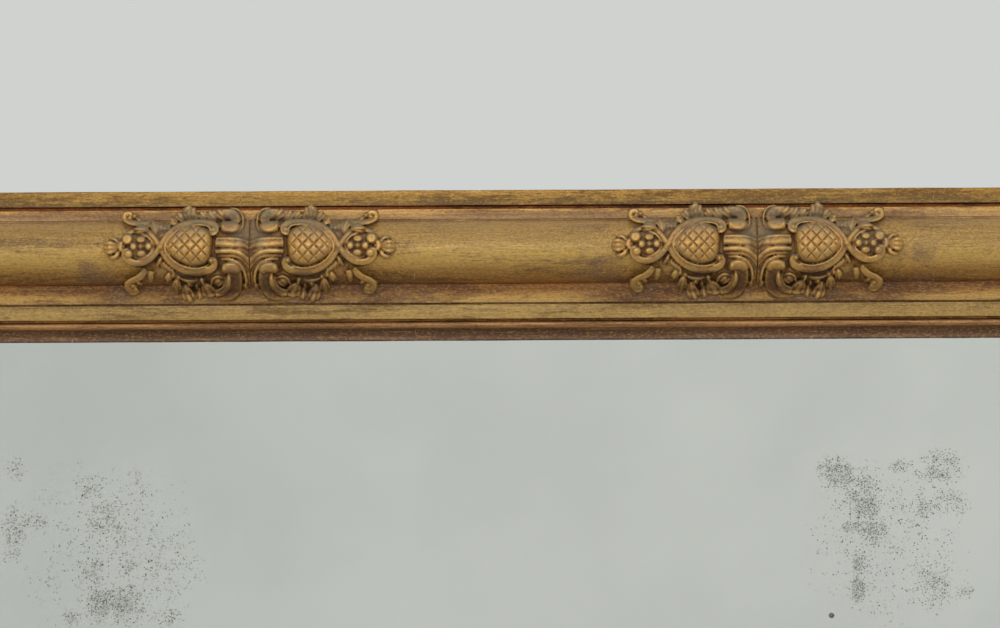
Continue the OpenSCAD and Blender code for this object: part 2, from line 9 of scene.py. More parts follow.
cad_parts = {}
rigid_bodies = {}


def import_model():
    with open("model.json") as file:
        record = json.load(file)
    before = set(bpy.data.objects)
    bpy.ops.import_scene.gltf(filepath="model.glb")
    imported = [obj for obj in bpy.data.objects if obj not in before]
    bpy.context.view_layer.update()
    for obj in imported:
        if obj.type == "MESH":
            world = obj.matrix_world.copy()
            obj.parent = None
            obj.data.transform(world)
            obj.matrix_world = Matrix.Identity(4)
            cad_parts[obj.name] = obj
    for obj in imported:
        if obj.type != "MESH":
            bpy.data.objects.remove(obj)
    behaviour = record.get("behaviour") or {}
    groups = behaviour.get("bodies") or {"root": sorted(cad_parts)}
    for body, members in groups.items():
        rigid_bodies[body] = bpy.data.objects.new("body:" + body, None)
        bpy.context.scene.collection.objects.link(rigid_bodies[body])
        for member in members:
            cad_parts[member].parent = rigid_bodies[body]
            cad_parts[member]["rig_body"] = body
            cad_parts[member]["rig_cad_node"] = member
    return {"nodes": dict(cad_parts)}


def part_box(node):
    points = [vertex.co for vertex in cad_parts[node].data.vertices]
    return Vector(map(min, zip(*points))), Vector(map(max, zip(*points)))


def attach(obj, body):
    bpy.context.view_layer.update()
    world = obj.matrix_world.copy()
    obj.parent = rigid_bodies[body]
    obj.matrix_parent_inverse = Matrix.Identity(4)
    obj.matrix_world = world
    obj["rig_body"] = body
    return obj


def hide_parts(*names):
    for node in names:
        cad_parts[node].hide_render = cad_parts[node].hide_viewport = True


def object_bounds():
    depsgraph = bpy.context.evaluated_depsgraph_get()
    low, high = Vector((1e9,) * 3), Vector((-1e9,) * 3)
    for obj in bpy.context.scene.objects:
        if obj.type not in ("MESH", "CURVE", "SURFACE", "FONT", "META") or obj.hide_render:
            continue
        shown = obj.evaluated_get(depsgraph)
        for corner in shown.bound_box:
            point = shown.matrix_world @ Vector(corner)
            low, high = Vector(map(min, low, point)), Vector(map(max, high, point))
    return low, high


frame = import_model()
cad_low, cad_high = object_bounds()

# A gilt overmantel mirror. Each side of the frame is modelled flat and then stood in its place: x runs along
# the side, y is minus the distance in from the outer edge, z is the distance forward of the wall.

MM = 0.001
WIDTH = cad_high.x - cad_low.x
HEIGHT = cad_high.z - cad_low.z
WALL = cad_high.y

SIDES = ("top", "right", "bottom", "left")
RAILS = ("top", "bottom")

# The section in millimetres, strip by strip: where each ends, in from the outer edge, and its face or floor.
BACK = 24
EDGE_IN, EDGE_FACE = 12.4, 60
GROOVE_IN, GROOVE_FLOOR = 14.8, 52
FILLET_IN, FILLET_FACE = 23.2, 57
QUIRK_FLOOR, FLAT_QUIRK_FLOOR = 55, 43.4
TORUS_FROM, TORUS_TO = 24.2, 74.6
TORUS_AXIS, TORUS_RADIUS = (47.6, 40), 28
FLAT_IN, FLAT_FACE = 89.4, 47
LOWER_FROM, LOWER_IN, LOWER_FACE = 90.4, 102.2, 45.4
SLIP_IN, SLIP_GROOVE_FLOOR = 104.2, 39
BEAD_CENTRE, BEAD_RADIUS = (106.6, 41.2), 2.4
COVE_CENTRE, COVE_RADIUS = (116.8, 42.8), 7.8
SIGHT_EDGE, LIP_FACE = 119.8, 35
REBATE_IN, REBATE_FLOOR = 108.2, 29.4

# The plate and its silver in millimetres: how far in they start, and the levels of their backs and fronts.
PLATE_INSET = 110.2
PLATE_LEVELS = (24.25, 29.2)
SILVER_LEVELS = (24.02, 24.1)

# The ornaments in millimetres: their middle line, their pitch, half the gap in a joint, how far the corner
# casts are set in, how deep a cast reaches into the moulding, the level of its front, the grain of its skin,
# the share of its faces that is kept, and how much is trimmed off at a joint.
ORNAMENT_LINE = 43.8
ORNAMENT_PITCH = 200
HALF_GAP = 0.5
CORNER_SHIFT = 22
BITE = 0.7
FRONT_LIMIT = 81.6
CAST_GRAIN = 0.62
CAST_SHARE_KEPT = 0.42
JOINT_TRIM = 0.05

# Along a side, the gilding was sponged on again up to this far from each joint, fading over this length.
NEAR_REACH, NEAR_FADE = 148, 38
# How far apart, in metres, the gilding's pattern starts on the four sides and on the castings.
SIDE_SHIFT, CAST_SHIFT = 3.7, 0.61

# How close two points are to be merged, the rings along a side, the cuts in a board, and the draws' seed.
MERGE = 1e-6
RINGS_ALONG = 90
BOARD_CUTS = 24
SEED = 7


# ---------- hands ----------

def pick(*pieces):
    """Selects these pieces alone and makes the last of them active."""
    bpy.ops.object.select_all(action="DESELECT")
    for piece in pieces:
        piece.select_set(True)
    bpy.context.view_layer.objects.active = pieces[-1]


def named(name):
    piece = bpy.context.object
    piece.name = name
    piece.data.name = name
    return piece


def edit(piece, kind="VERT", chosen=None):
    """Opens a piece's mesh with all of it selected, or only the edges or faces that pass a test."""
    pick(piece)
    bpy.ops.object.mode_set(mode="EDIT")
    bpy.ops.mesh.select_mode(type=kind)
    bpy.ops.mesh.select_all(action="DESELECT" if chosen else "SELECT")
    if chosen:
        leave()
        for part in piece.data.edges if kind == "EDGE" else piece.data.polygons:
            part.select = bool(chosen(part))
        bpy.ops.object.mode_set(mode="EDIT")


def leave():
    bpy.ops.object.mode_set(mode="OBJECT")


def settle():
    """Writes the selected pieces' places into their meshes."""
    bpy.ops.object.transform_apply(location=True, rotation=True, scale=True)


def smooth_below(degrees):
    bpy.ops.object.shade_smooth_by_angle(angle=math.radians(degrees))


def joined(name, pieces):
    pick(*pieces)
    bpy.ops.object.join()
    return named(name)


def finish_with(piece, kind, **settings):
    """Adds one modifier with these settings and applies it."""
    pick(piece)
    modifier = piece.modifiers.new(kind.title(), kind)
    for key, value in settings.items():
        setattr(modifier, key, value)
    bpy.ops.object.modifier_apply(modifier=modifier.name)


def ease_edges(piece, width, degrees):
    finish_with(piece, "BEVEL", width=width * MM, segments=2, limit_method="ANGLE",
                angle_limit=math.radians(degrees))


def roughen(piece, texture, space, strength, middle):
    finish_with(piece, "DISPLACE", texture=texture, texture_coords=space, strength=strength * MM,
                mid_level=middle)


def stood(piece, matrix):
    """Takes a flat piece to its place, with the place kept in its mesh."""
    pick(piece)
    piece.matrix_world = matrix
    settle()
    if matrix.determinant() < 0:
        edit(piece)
        bpy.ops.mesh.normals_make_consistent(inside=False)
        leave()
    return piece


def copied(piece, name):
    copy = piece.copy()
    copy.data = piece.data.copy()
    bpy.context.scene.collection.objects.link(copy)
    copy.name = name
    copy.data.name = name
    return copy


def block(name, middle, size):
    bpy.ops.mesh.primitive_cube_add(size=1, location=middle)
    piece = named(name)
    piece.scale = size
    settle()
    return piece


def bent(places, shares, **section):
    """A curve through these places, as thick as its section says, made into a mesh."""
    bpy.ops.curve.primitive_bezier_curve_add(location=(0, 0, 0))
    curve = bpy.context.object.data
    curve.dimensions = "3D"
    spline = curve.splines[0]
    spline.bezier_points.add(len(places) - 2)
    for knot, place, share in zip(spline.bezier_points, places, shares):
        knot.co = place
        knot.radius = share
        knot.handle_left_type = knot.handle_right_type = "AUTO"
    for key, value in section.items():
        setattr(curve, key, value)
    curve.use_fill_caps = True
    pick(bpy.context.object)
    bpy.ops.object.convert(target="MESH")
    return bpy.context.object


def vectors_of(piece, what):
    flat = np.empty(len(piece.data.vertices) * 3, np.float32)
    piece.data.vertices.foreach_get(what, flat)
    return flat.reshape(-1, 3)


def points_of(piece):
    return vectors_of(piece, "co").astype(float)


def set_points(piece, points):
    piece.data.vertices.foreach_set("co", points.astype(np.float32).ravel())
    piece.data.update()


def cap(piece, level):
    """Flattens what stands above a level."""
    points = points_of(piece)
    points[:, 2] = np.minimum(points[:, 2], level * MM)
    set_points(piece, points)


def keep(piece, name, values):
    """Stores a value or a vector at each point, for the finishes to read."""
    kind, field = ("FLOAT", "value") if values.ndim == 1 else ("FLOAT_VECTOR", "vector")
    stored = piece.data.attributes.new(name, kind, "POINT")
    stored.data.foreach_set(field, values.astype(np.float32).ravel())


def keep_run(piece, shift):
    """Stores each point's place along and across its strip, which the gilding follows."""
    keep(piece, "run", points_of(piece) + (shift, 0, 0))


def take_over(piece, node, material, body="mirror"):
    """Gives a piece its look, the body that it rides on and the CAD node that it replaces."""
    piece.data.materials.clear()
    piece.data.materials.append(material)
    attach(piece, body)
    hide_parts(node)


def clouds(name, size):
    texture = bpy.data.textures.new(name, "CLOUDS")
    texture.noise_scale = size
    texture.noise_depth = 2
    return texture


# ---------- mouldings ----------

def side_length(side):
    return WIDTH if side in RAILS else HEIGHT


def side_place(side):
    """Stands a side's flat space in its place on the mirror."""
    turn = Matrix.Rotation(math.radians(90 * SIDES.index(side)), 4, "Y")
    across = HEIGHT if side in RAILS else WIDTH
    lift = Matrix.Translation((0, 0, across / 2))
    middle = Matrix.Translation((0, WALL, HEIGHT / 2))
    return middle @ turn @ lift @ Matrix.Rotation(math.radians(90), 4, "X")


def arc(centre, radius, start, end, steps):
    """Points of a round stretch of a section, by its angles in degrees."""
    turns = [math.radians(start + (end - start) * i / steps) for i in range(steps + 1)]
    return [(centre[0] + radius * math.cos(t), centre[1] + radius * math.sin(t)) for t in turns]


def edge_outline():
    return [(0, BACK), (0, EDGE_FACE), (EDGE_IN, EDGE_FACE), (EDGE_IN, BACK)]


def torus_outline():
    start, end = (math.degrees(math.acos((s - TORUS_AXIS[0]) / TORUS_RADIUS)) for s in (TORUS_FROM, TORUS_TO))
    return [
        (EDGE_IN, BACK), (EDGE_IN, GROOVE_FLOOR), (GROOVE_IN, GROOVE_FLOOR), (GROOVE_IN, FILLET_FACE),
        (FILLET_IN, FILLET_FACE), (FILLET_IN, QUIRK_FLOOR), (TORUS_FROM, QUIRK_FLOOR),
        *arc(TORUS_AXIS, TORUS_RADIUS, start, end, 28),
        (TORUS_TO, FLAT_FACE), (FLAT_IN, FLAT_FACE), (FLAT_IN, FLAT_QUIRK_FLOOR),
        (LOWER_FROM, FLAT_QUIRK_FLOOR), (LOWER_FROM, LOWER_FACE), (LOWER_IN, LOWER_FACE),
        (LOWER_IN, SLIP_GROOVE_FLOOR), (SLIP_IN, SLIP_GROOVE_FLOOR), (SLIP_IN, BACK),
    ]


def slip_outline():
    bead = arc(BEAD_CENTRE, BEAD_RADIUS, 180, 15, 10)
    cove = arc(COVE_CENTRE, COVE_RADIUS, 188, 270, 10)
    lip = [(SIGHT_EDGE, LIP_FACE), (SIGHT_EDGE, REBATE_FLOOR), (REBATE_IN, REBATE_FLOOR), (REBATE_IN, BACK)]
    return [(SLIP_IN, BACK)] + bead + cove + lip


def eased(outline, ease):
    """The outline with each sharp arris rounded over by about ease."""
    sharp, least, most = 25, 1e-6, 0.4
    points = []
    for i, here in enumerate(outline):
        here = Vector(here)
        before = Vector(outline[i - 1]) - here
        after = Vector(outline[(i + 1) % len(outline)]) - here
        if before.length < least or after.length < least:
            continue
        if math.degrees(before.angle(-after)) < sharp:
            points.append(here)
            continue
        cut = min(ease, before.length * most, after.length * most)
        one, two = here + before.normalized() * cut, here + after.normalized() * cut
        points += [one, (one + two + here * 2) / 4, two]
    return points


def cut_off(piece, place, outwards):
    """Cuts a piece off at a plane and closes the cut."""
    edit(piece)
    bpy.ops.mesh.bisect(plane_co=place, plane_no=outwards, use_fill=True, clear_outer=True, threshold=1e-7)
    leave()


def drawn_length(name, side, outline):
    """Draws a section point by point, extrudes it along the side, mitres its ends and divides it in rings."""
    length = side_length(side)
    points = [Vector((-length / 2, -s * MM, p * MM)) for s, p in outline]
    bpy.ops.mesh.primitive_plane_add(size=MM, location=points[0])
    piece = named(name)
    edit(piece)
    bpy.ops.mesh.merge(type="CENTER")
    for here, there in zip(points, points[1:] + points[:1]):
        bpy.ops.mesh.extrude_region_move(TRANSFORM_OT_translate={"value": there - here})
    bpy.ops.mesh.select_all(action="SELECT")
    bpy.ops.mesh.remove_doubles(threshold=MERGE)
    bpy.ops.mesh.extrude_region_move(TRANSFORM_OT_translate={"value": (length, 0, 0)})
    leave()
    for end in (-1, 1):
        cut_off(piece, Vector((end * length / 2, 0, 0)), Vector((end, -1, 0)))

    def runs_along(edge):
        a, b = (piece.data.vertices[i].co for i in edge.vertices)
        return abs(a.x - b.x) > length / 2

    edit(piece, "EDGE", runs_along)
    bpy.ops.mesh.subdivide(number_cuts=RINGS_ALONG)
    bpy.ops.mesh.select_all(action="SELECT")
    bpy.ops.mesh.normals_make_consistent(inside=False)
    leave()
    settle()
    return piece


def strip_share(s, start, rise, end, fall):
    """1 within a strip, going down to 0 at its start and its end."""
    return np.clip((s - start) / rise, 0, 1) * np.clip((end - s) / fall, 0, 1)


def keep_near(piece, side):
    """Stores how near each point of a moulding lies to an ornament, where the gilding was sponged on again,
    and how dark it is painted there: dirt on the fillet, and dirt with painted shadow under the ornaments on
    the lower torus and the flat."""
    joints = (-ORNAMENT_PITCH, ORNAMENT_PITCH) if side in RAILS else (0,)
    points = points_of(piece) / MM
    s = -points[:, 1]
    shares = [(NEAR_REACH - np.abs(points[:, 0] - joint)) / NEAR_FADE for joint in joints]
    near = np.clip(np.max(shares, axis=0), 0, 1)
    # From 62 to 91.8 in, this is painted shadow of the ornaments together with dirt; on the fillet it is
    # dirt.
    shadow_and_dirt = near * (1.1 * strip_share(s, 62, 12, 91.8, 3.4) + 0.5 * strip_share(s, 15.2, 1.2, 25, 1.5))
    keep(piece, "near", near * strip_share(s, 23, 4, 90, 6))
    keep(piece, "shadow_and_dirt", shadow_and_dirt)


def moulding(name, side, outline, ease, node, material):
    """One length of a moulding, shaped, stood in its place and left a little uneven by the plane."""
    piece = drawn_length(f"gilt_{name}_{side}", side, eased(outline, ease))
    keep_run(piece, SIDES.index(side) * SIDE_SHIFT)
    keep_near(piece, side)
    stood(piece, side_place(side))
    roughen(piece, HAND_PLANED, "GLOBAL", 0.5, 1.0)
    smooth_below(32)
    take_over(piece, f"{node}_{side}", material)


def make_mouldings():
    edge = gilding("gilded_edge", EDGE_TONES)
    torus = gilding("gilded_torus", TORUS_TONES_AND_PAINTED_LIGHT)
    slip = gilding("gilded_slip", SLIP_TONES_AND_PAINTED_LIGHT, roughness=0.46)
    for side in SIDES:
        moulding("edge", side, edge_outline(), 0.7, "edge_strip", edge)
        moulding("torus", side, torus_outline(), 0.5, "torus_moulding", torus)
        moulding("slip", side, slip_outline(), 0.4, "sight_slip", slip)


# ---------- composition ornaments: u from the joint, v outwards, w over the moulding ----------

def strand(points, width, top, flat=0.0):
    """A rounded strand on the ground, its crown flattened a little.

    A point is (u, v) or (u, v, share of the section)."""
    half = max((top + BITE) / 2, width / 2)
    shares = [point[2] if len(point) > 2 else 1 for point in points]
    places = [Vector((point[0], point[1], share * half - BITE)) * MM for point, share in zip(points, shares)]
    piece = bent(places, shares, twist_mode="Z_UP", resolution_u=7, bevel_resolution=4,
                 bevel_depth=width / 2 * MM, extrude=(half - width / 2) * MM)
    if flat:
        points = points_of(piece)
        crown = (top - flat) * MM
        above = points[:, 2] > crown
        points[above, 2] = crown + (points[above, 2] - crown) * 0.25
        set_points(piece, points)
    return piece


def drop(u, v, ru, rv, top, turn=0):
    """A rounded drop whose middle lies near the ground."""
    bpy.ops.mesh.primitive_uv_sphere_add(segments=28, ring_count=14, radius=1, location=(u * MM, v * MM, 0))
    piece = bpy.context.object
    piece.scale = (ru * MM, rv * MM, top * MM)
    piece.rotation_euler.z = math.radians(turn)
    settle()
    return piece


def leaf(root, tip, width, top, bend=0.0):
    """A carved leaf: a middle finger and a shorter one on each side, all from one root."""
    root, tip = Vector(root), Vector(tip)
    along = tip - root
    across = Vector((-along.y, along.x)).normalized()
    fingers = []
    for hand, reach in ((0, 1), (-1, 0.82), (1, 0.76)):
        knots = []
        for share, spread, size in ((0, 0.06, 0.6), (0.45, 0.26, 0.95), (0.8, 0.37, 1), (1, 0.4, 0.6)):
            sway = bend * math.sin(math.pi * share)
            place = root + along * share * reach + across * (hand * spread * width + sway)
            knots.append((place.x, place.y, size))
        fingers.append(strand(knots, width * 0.46, top * (1 - 0.12 * abs(hand)), 0.3))
    return fingers


def leaves(*rows):
    return [finger for row in rows for finger in leaf(*row)]


def collar():
    """The reeds that run into the joint and flare down beside it, and the dirty hollow above them."""
    parts = [
        strand([(-3, -3.6, 0.7), (2, -0.4, 0.8), (7, 1.3, 0.94), (13, 2), (26.2, 2.1, 0.85)], 7.2, 9, 0.9),
        strand([(-3, 1.6, 0.7), (4, 4.4, 0.8), (9, 5.6), (15, 6), (25.6, 6, 0.8)], 1.9, 8.9, 0.2),
        strand([(-3, -10, 0.9), (2, -5.4, 0.9), (8, -2.6), (12, -1.9, 0.5)], 3.4, 7.8, 0.3),
        strand([(-3, -15.6), (2, -9.8), (7, -5.8), (12, -4.2), (18, -3.9), (26.2, -4.3, 0.9)], 3.6, 9, 0.5),
        strand([(-3, -20.6, 0.9), (1.4, -14.2), (6, -9.7), (11, -7.8), (17, -7.4, 0.8), (24.6, -7.6, 0.5)],
               2.9, 7.6, 0.3),
        strand([(3, -30, 0.7), (3.2, -23.6), (5, -17.8), (9, -13), (14.4, -10.8), (22, -10.4, 0.6)],
               2.1, 7.4, 0.2),
        strand([(1.6, 21, 0.8), (2.2, 15), (4.6, 11), (11, 10, 0.7)], 1.6, 5),
    ]
    return parts + [drop(13, 9, 15, 6, 5.4), drop(3.8, -31.4, 1.9, 2.8, 7.6), drop(2.2, -27, 1.3, 2.4, 6)]


def upper_scroll():
    """A fat curl: its bright roll in front, its broad dusty back above, and a thin ribbon round both."""
    return [
        strand([(21, 15.6, 0.86), (16.6, 15, 1), (12, 15, 1), (9.4, 17, 0.8)], 9.4, 10.2, 0.9),
        strand([(11, 18.6, 0.8), (11, 21.6), (13.2, 24.6), (17.8, 25.6), (23, 25.4, 0.84), (28, 24.8, 0.6)],
               8.4, 7.4, 1.5),
        strand([(14, 9.2, 0.5), (8.6, 11.2), (5.6, 15.4), (5, 20.6), (6.4, 25.6), (9.6, 29),
                (14.6, 30.4, 0.6)], 1.5, 6),
        drop(20.6, 16.2, 2.8, 3.8, 10),
    ]


def lower_scroll():
    """A bright roll over a broad brown gutter, with a two-fold leaf that lies inside its curve."""
    return [
        strand([(20, -17.8, 0.9), (15.8, -16.8), (11.6, -17.6), (9.4, -20.8, 0.84)], 8.2, 10.3, 0.9),
        strand([(11, -20, 0.9), (10.8, -25.4), (11.4, -31), (14.4, -36.2), (19.4, -39.2, 0.8),
                (25, -40.4, 0.5)], 10, 7.2, 1.7),
        strand([(16.4, -22.6, 0.6), (16.2, -28), (17.8, -33), (21.6, -36.8), (27.4, -38.2, 0.9)],
               3.6, 9.6, 0.5),
        strand([(18.8, -24.8, 0.6), (19.2, -29.2), (21.4, -32.8), (25.2, -35), (28.6, -35.4, 0.7)],
               2.2, 8.4, 0.4),
        strand([(21, -26.8, 0.6), (22.6, -29.6), (25.4, -31.6, 0.6)], 1.4, 7.2),
        strand([(28.8, -38, 0.8), (32, -38.8), (35.4, -38, 0.6)], 3, 7.6, 0.3),
        drop(19.8, -18, 2.8, 3.7, 10.1), drop(20, -38.6, 11, 6, 4.4),
    ]


CUSHION_MIDDLE = (46.0, 0.0)
CUSHION_RIM = [(29.2, 0), (29.4, 9), (32.4, 14.2), (39, 16.9), (47, 16.9), (54, 14.6), (60, 10.2),
               (64.5, 5.4), (67, 0.2), (65.2, -4.4), (60.2, -9), (54, -13), (47.6, -15.6), (41.6, -16),
               (35.4, -14.4), (31.4, -10.8), (29.5, -5)]


def cushion_share(u, v):
    """0 in the middle of the trellised cushion and 1 at its rim, and the rim's distance from the middle."""
    rim = [(math.atan2(y - CUSHION_MIDDLE[1], x - CUSHION_MIDDLE[0]),
            math.hypot(x - CUSHION_MIDDLE[0], y - CUSHION_MIDDLE[1])) for x, y in CUSHION_RIM]
    rim.sort()
    angles, reaches = zip(*rim)
    angle = np.arctan2(v - CUSHION_MIDDLE[1], u - CUSHION_MIDDLE[0])
    reach = np.interp(angle, angles, reaches, period=2 * math.pi)
    return np.hypot(u - CUSHION_MIDDLE[0], v - CUSHION_MIDDLE[1]) / reach, reach


def cushion(top, edge):
    """A shallow dome that fills its rim, with steep sides."""
    bpy.ops.mesh.primitive_uv_sphere_add(segments=96, ring_count=48, radius=1, location=(0, 0, 0))
    piece = bpy.context.object
    points = points_of(piece)
    share = np.hypot(points[:, 0], points[:, 1]).clip(0, 1)
    reach = cushion_share(points[:, 0] + CUSHION_MIDDLE[0], points[:, 1] + CUSHION_MIDDLE[1])[1]
    wall = (1 - share ** 12) ** 0.5
    height = (edge + (top - edge) * (1 - share ** 2)) * wall
    points[:, 2] = np.where(points[:, 2] > 0, height, points[:, 2] * BITE)
    points[:, :2] = points[:, :2] * reach[:, None] + CUSHION_MIDDLE
    set_points(piece, points * MM)
    return piece


def cartouche():
    """The trellised cushion in its two rims, which cross and go on round the heart."""
    over = [(29.6, -10.6, 0.6), (27.6, -11.2, 0.8), (27, -14.4, 0.9), (29.6, -17.8), (35.6, -19.8),
            (43, -20.4), (50.8, -18.9), (58.4, -14.8), (64.4, -9), (69.6, -1.2, 0.86), (74.2, 5.8, 0.76),
            (79.6, 10.9, 0.72), (86, 12.8, 0.66), (92, 12, 0.68), (96.6, 9, 0.72), (96.6, 5.6, 0.8)]
    under = [(29.8, 10.8, 0.8), (27.4, 10.8), (25.8, 13.4), (27.4, 16.8), (33.6, 18.4), (42.8, 18.8),
             (50.8, 17.6), (58.4, 13.9), (64, 8.6), (69.6, 0.2, 0.94), (74, -6.2), (79.8, -11, 1.04),
             (86.6, -13.2, 1.08), (93, -12, 1.1), (97.2, -8, 1.1), (97, -4), (95, -3.2, 0.9)]
    groove_side = [(33.4, 12.8, 0.5), (31.2, 14.6), (35, 16.6), (43, 16.9), (50, 15.6, 0.6)]
    ridge = [(32.4, -14.6, 0.5), (37, -17), (43, -17.6), (50.6, -16.2), (57.4, -12.8), (62.6, -7.8),
             (66, -1.4), (64.4, 4.6), (59.4, 9.9), (53.4, 13.9), (46.4, 15.9), (39, 15.9), (33.6, 13.8, 0.5)]
    return [
        strand(over, 5.6, 9.7, 1.9), strand(under, 4.6, 9.5, 1.4), strand(ridge, 1.4, 9.0),
        strand(groove_side, 1.3, 10.2),
        cushion(11.5, 9.8),
        drop(27.8, 13.4, 3.9, 4.2, 10), drop(29.6, -11.4, 2.9, 3, 10.2),
        drop(69.7, -0.3, 4.4, 4.2, 8.9),
    ]


def petal(u, v, ru, rv, top):
    """A round petal with a flattened crown."""
    piece = drop(u, v, ru * 1.08, rv * 1.08, top * 1.3)
    cap(piece, top)
    return piece


def heart():
    """Four petals round a boss with a rib on each side, two more petals, a link to the bud and a leaf."""
    parts = [
        petal(84.9, 5.3, 4.4, 3.1, 10), petal(90.7, -0.1, 3.2, 3.6, 10), petal(84.5, -5.5, 4.4, 3.1, 10),
        petal(79, 0, 3.2, 3.6, 10), drop(84.8, 0, 3.2, 3.2, 11.8), drop(86, 0.2, 13, 12, 7.8),
        petal(95.6, 5.8, 5, 4.8, 10.2), petal(94.6, -5.8, 3.9, 3.7, 10),
        strand([(74.4, 0.2, 0.7), (77.6, 5.6), (82.4, 9.2), (88.4, 9.6, 0.6)], 1.5, 8.7),
        strand([(74.4, 0.2, 0.7), (77.8, -5.6), (83, -9.3), (89.6, -9, 0.6)], 1.5, 8.7),
        strand([(99, 3.6, 0.7), (101, 1.8), (101, -1.4), (99.4, -3.6, 0.7)], 3.6, 8.4, 0.5),
        drop(99, 0.2, 2.4, 2.8, 7.6),
    ]
    return parts + leaf((79.2, 12.2), (88.2, 13.8), 5.2, 11, 0.9)


def bud():
    """A closed round bud in three lobes, held by two sepals."""
    parts = [drop(109.2, -0.8, 5.2, 5.8, 8.4)]
    for lift, width in ((3.8, 3), (0, 4.6), (-3.8, 3)):
        end = (113.8 - abs(lift) * 0.3, lift * 0.75 - 0.8, 0.75)
        parts.append(strand([(104.8, lift * 0.5 - 0.8, 0.8), (109.4, lift - 0.8), end], width, 10.1))
    return parts + [
        strand([(103, 2.6, 0.8), (104.4, 5), (107, 6.4), (110.4, 6.4, 0.5)], 2.6, 7.6),
        strand([(102.8, -4.4, 0.8), (104.2, -7), (107, -8.6), (110.8, -8.4, 0.5)], 3.4, 7.8, 0.3),
    ]


def top_leaves():
    """The leaves above the cushion and the heart, and the rolled tendril over the heart."""
    fingers = leaves(
        ((19.6, 21), (24.4, 28), 7.4, 7.2, 0.5), ((27, 20.6), (31.6, 27.6), 7, 6.8, -0.4),
        ((34.6, 20.8), (38.6, 26.8), 6, 6.2, 0.4), ((46.4, 19.6), (47.8, 32), 8.6, 9, -0.6),
        ((52, 19), (56.4, 26.4), 6.4, 6.6, 0.6), ((57.4, 17), (62, 21.6), 5, 5.4),
        ((73.6, 9.6), (76.6, 20.4), 6, 6.2, 0.6), ((80.4, 13.6), (84.2, 19.8), 5.4, 5.8),
    )
    return fingers + [
        strand([(46.6, 30.4, 0.8), (49.2, 29.4), (50.8, 26.4, 0.7)], 3.6, 9.6),
        strand([(41.6, 22.6, 0.6), (43, 25.6), (45.2, 28, 0.6)], 2.6, 7.4),
        drop(42.4, 22.2, 2.2, 2.4, 6.6), drop(66.8, 14.4, 3, 2.2, 5.2, 30), drop(70, 16.4, 2.2, 1.8, 4.8),
        strand([(78, 20, 0.6), (84, 18.2), (90, 18.4), (96, 20.2), (99, 23.4), (96.8, 26.2), (92.8, 25.4)],
               4.4, 6.8, 0.5),
        drop(94.8, 22.8, 3.6, 2.6, 6.6), drop(90.8, 24.2, 2, 2.6, 6.8), drop(98.8, 26.4, 2, 2.2, 6.6),
        drop(87.4, 21.4, 3.2, 1.9, 6, 16),
    ]


def bottom_leaves():
    """The leaves, berries and the rolled tendril below the cushion and the heart."""
    parts = [
        drop(25.2, -27.6, 4.6, 3.6, 7, -18),
        strand([(21, -25.2, 0.6), (24.8, -24.2), (28.8, -25.8), (30.4, -29, 0.6)], 2, 8.4),
        strand([(41.6, -26.6, 0.6), (47, -27.8), (53.4, -26.2, 0.7)], 2.9, 8, 0.3),
        strand([(68.8, -8.2, 0.7), (70.6, -12), (73, -15.4, 0.7)], 3.2, 6.6),
        strand([(77.2, -19.6, 0.9), (78, -23.4, 0.96), (78.6, -27.6, 0.5)], 5.2, 8, 0.6),
        strand([(82, -18.4, 0.9), (84.6, -22.4, 1.1), (89, -25.4, 1.04), (94.2, -27.6), (97, -30.8),
                (95.8, -34.4), (91.8, -35.6), (89.6, -33.6, 0.9)], 4.8, 8.2, 0.7),
        drop(92.8, -31.6, 4.2, 3.2, 7.6), drop(97.4, -28.8, 2.6, 2.1, 8), drop(88, -28.6, 2.8, 1.9, 7.2, 20),
        drop(98, -33.2, 1.9, 2.4, 7.4), drop(56, -24.6, 2.4, 2.6, 7.4), drop(60.2, -23.2, 1.9, 2.2, 6.6),
        drop(37.6, -26.4, 2.6, 2.2, 6.4), drop(48, -30.2, 2.9, 2, 8.6), drop(42.6, -31.6, 1.8, 3, 6.2, 12),
        strand([(38.6, -25.4, 0.7), (37.4, -28.4), (35.6, -31, 0.7)], 2, 7.4),
    ]
    return parts + leaves(
        ((36.6, -30), (31.4, -38), 9, 8.2, 0.4), ((41, -33), (40.4, -41), 4.8, 6.4),
        ((51.4, -31), (47.6, -42.6), 8.4, 9.2, 0.7), ((57.2, -25.6), (58.6, -35.4), 6.4, 8.6),
        ((63, -20.8), (65, -27), 4.8, 5.6),
    )


def hatching():
    """The little crossing strokes on the ground on both sides of the crossing."""
    strokes = []
    for i in range(6):
        upper, low = 10.8 + 1.5 * (i % 2), -23.4 + 1.6 * i
        rising = [(61 + 2.3 * i, upper, 0.6), (63.4 + 2.3 * i, 14.8), (64 + 2.2 * i, 18.2 - 0.6 * i, 0.5)]
        falling = [(62 + 2.3 * i, 18 - 0.5 * i, 0.6), (64 + 2.2 * i, 14, 0.9), (67 + 2.2 * i, 12.2, 0.5)]
        below = [(57.4 + 2.8 * i, low, 0.6), (60.4 + 2.2 * i, low + 3.8), (62.6 + 1.6 * i, low + 8, 0.5)]
        strokes += [strand(rising, 1.5, 4.2), strand(falling, 1.2, 4.4), strand(below, 1.7, 5)]
    return strokes


def ground(corner):
    """The low skin that the carving stands on, and at a joint the swell under the reeds."""
    parts = [
        drop(46, 0, 23, 27, 3), drop(85, 0, 17, 17, 3), drop(105, -0.8, 8.5, 8.5, 3),
        drop(68, 2, 14, 17, 2.6), drop(33, 23, 20, 5, 3), drop(48, -27, 15, 9, 3), drop(66, -17, 12, 8, 2.6),
    ]
    if not corner:
        parts += [drop(15, -2, 15, 26, 3), drop(19, -30, 15, 12, 3), drop(14, 20, 13, 9, 3)]
        parts += [drop(2, -9, 10, 13, 6.6), drop(2, 10, 10, 11, 5.2), drop(0, -24, 5, 8, 4.4)]
    return parts


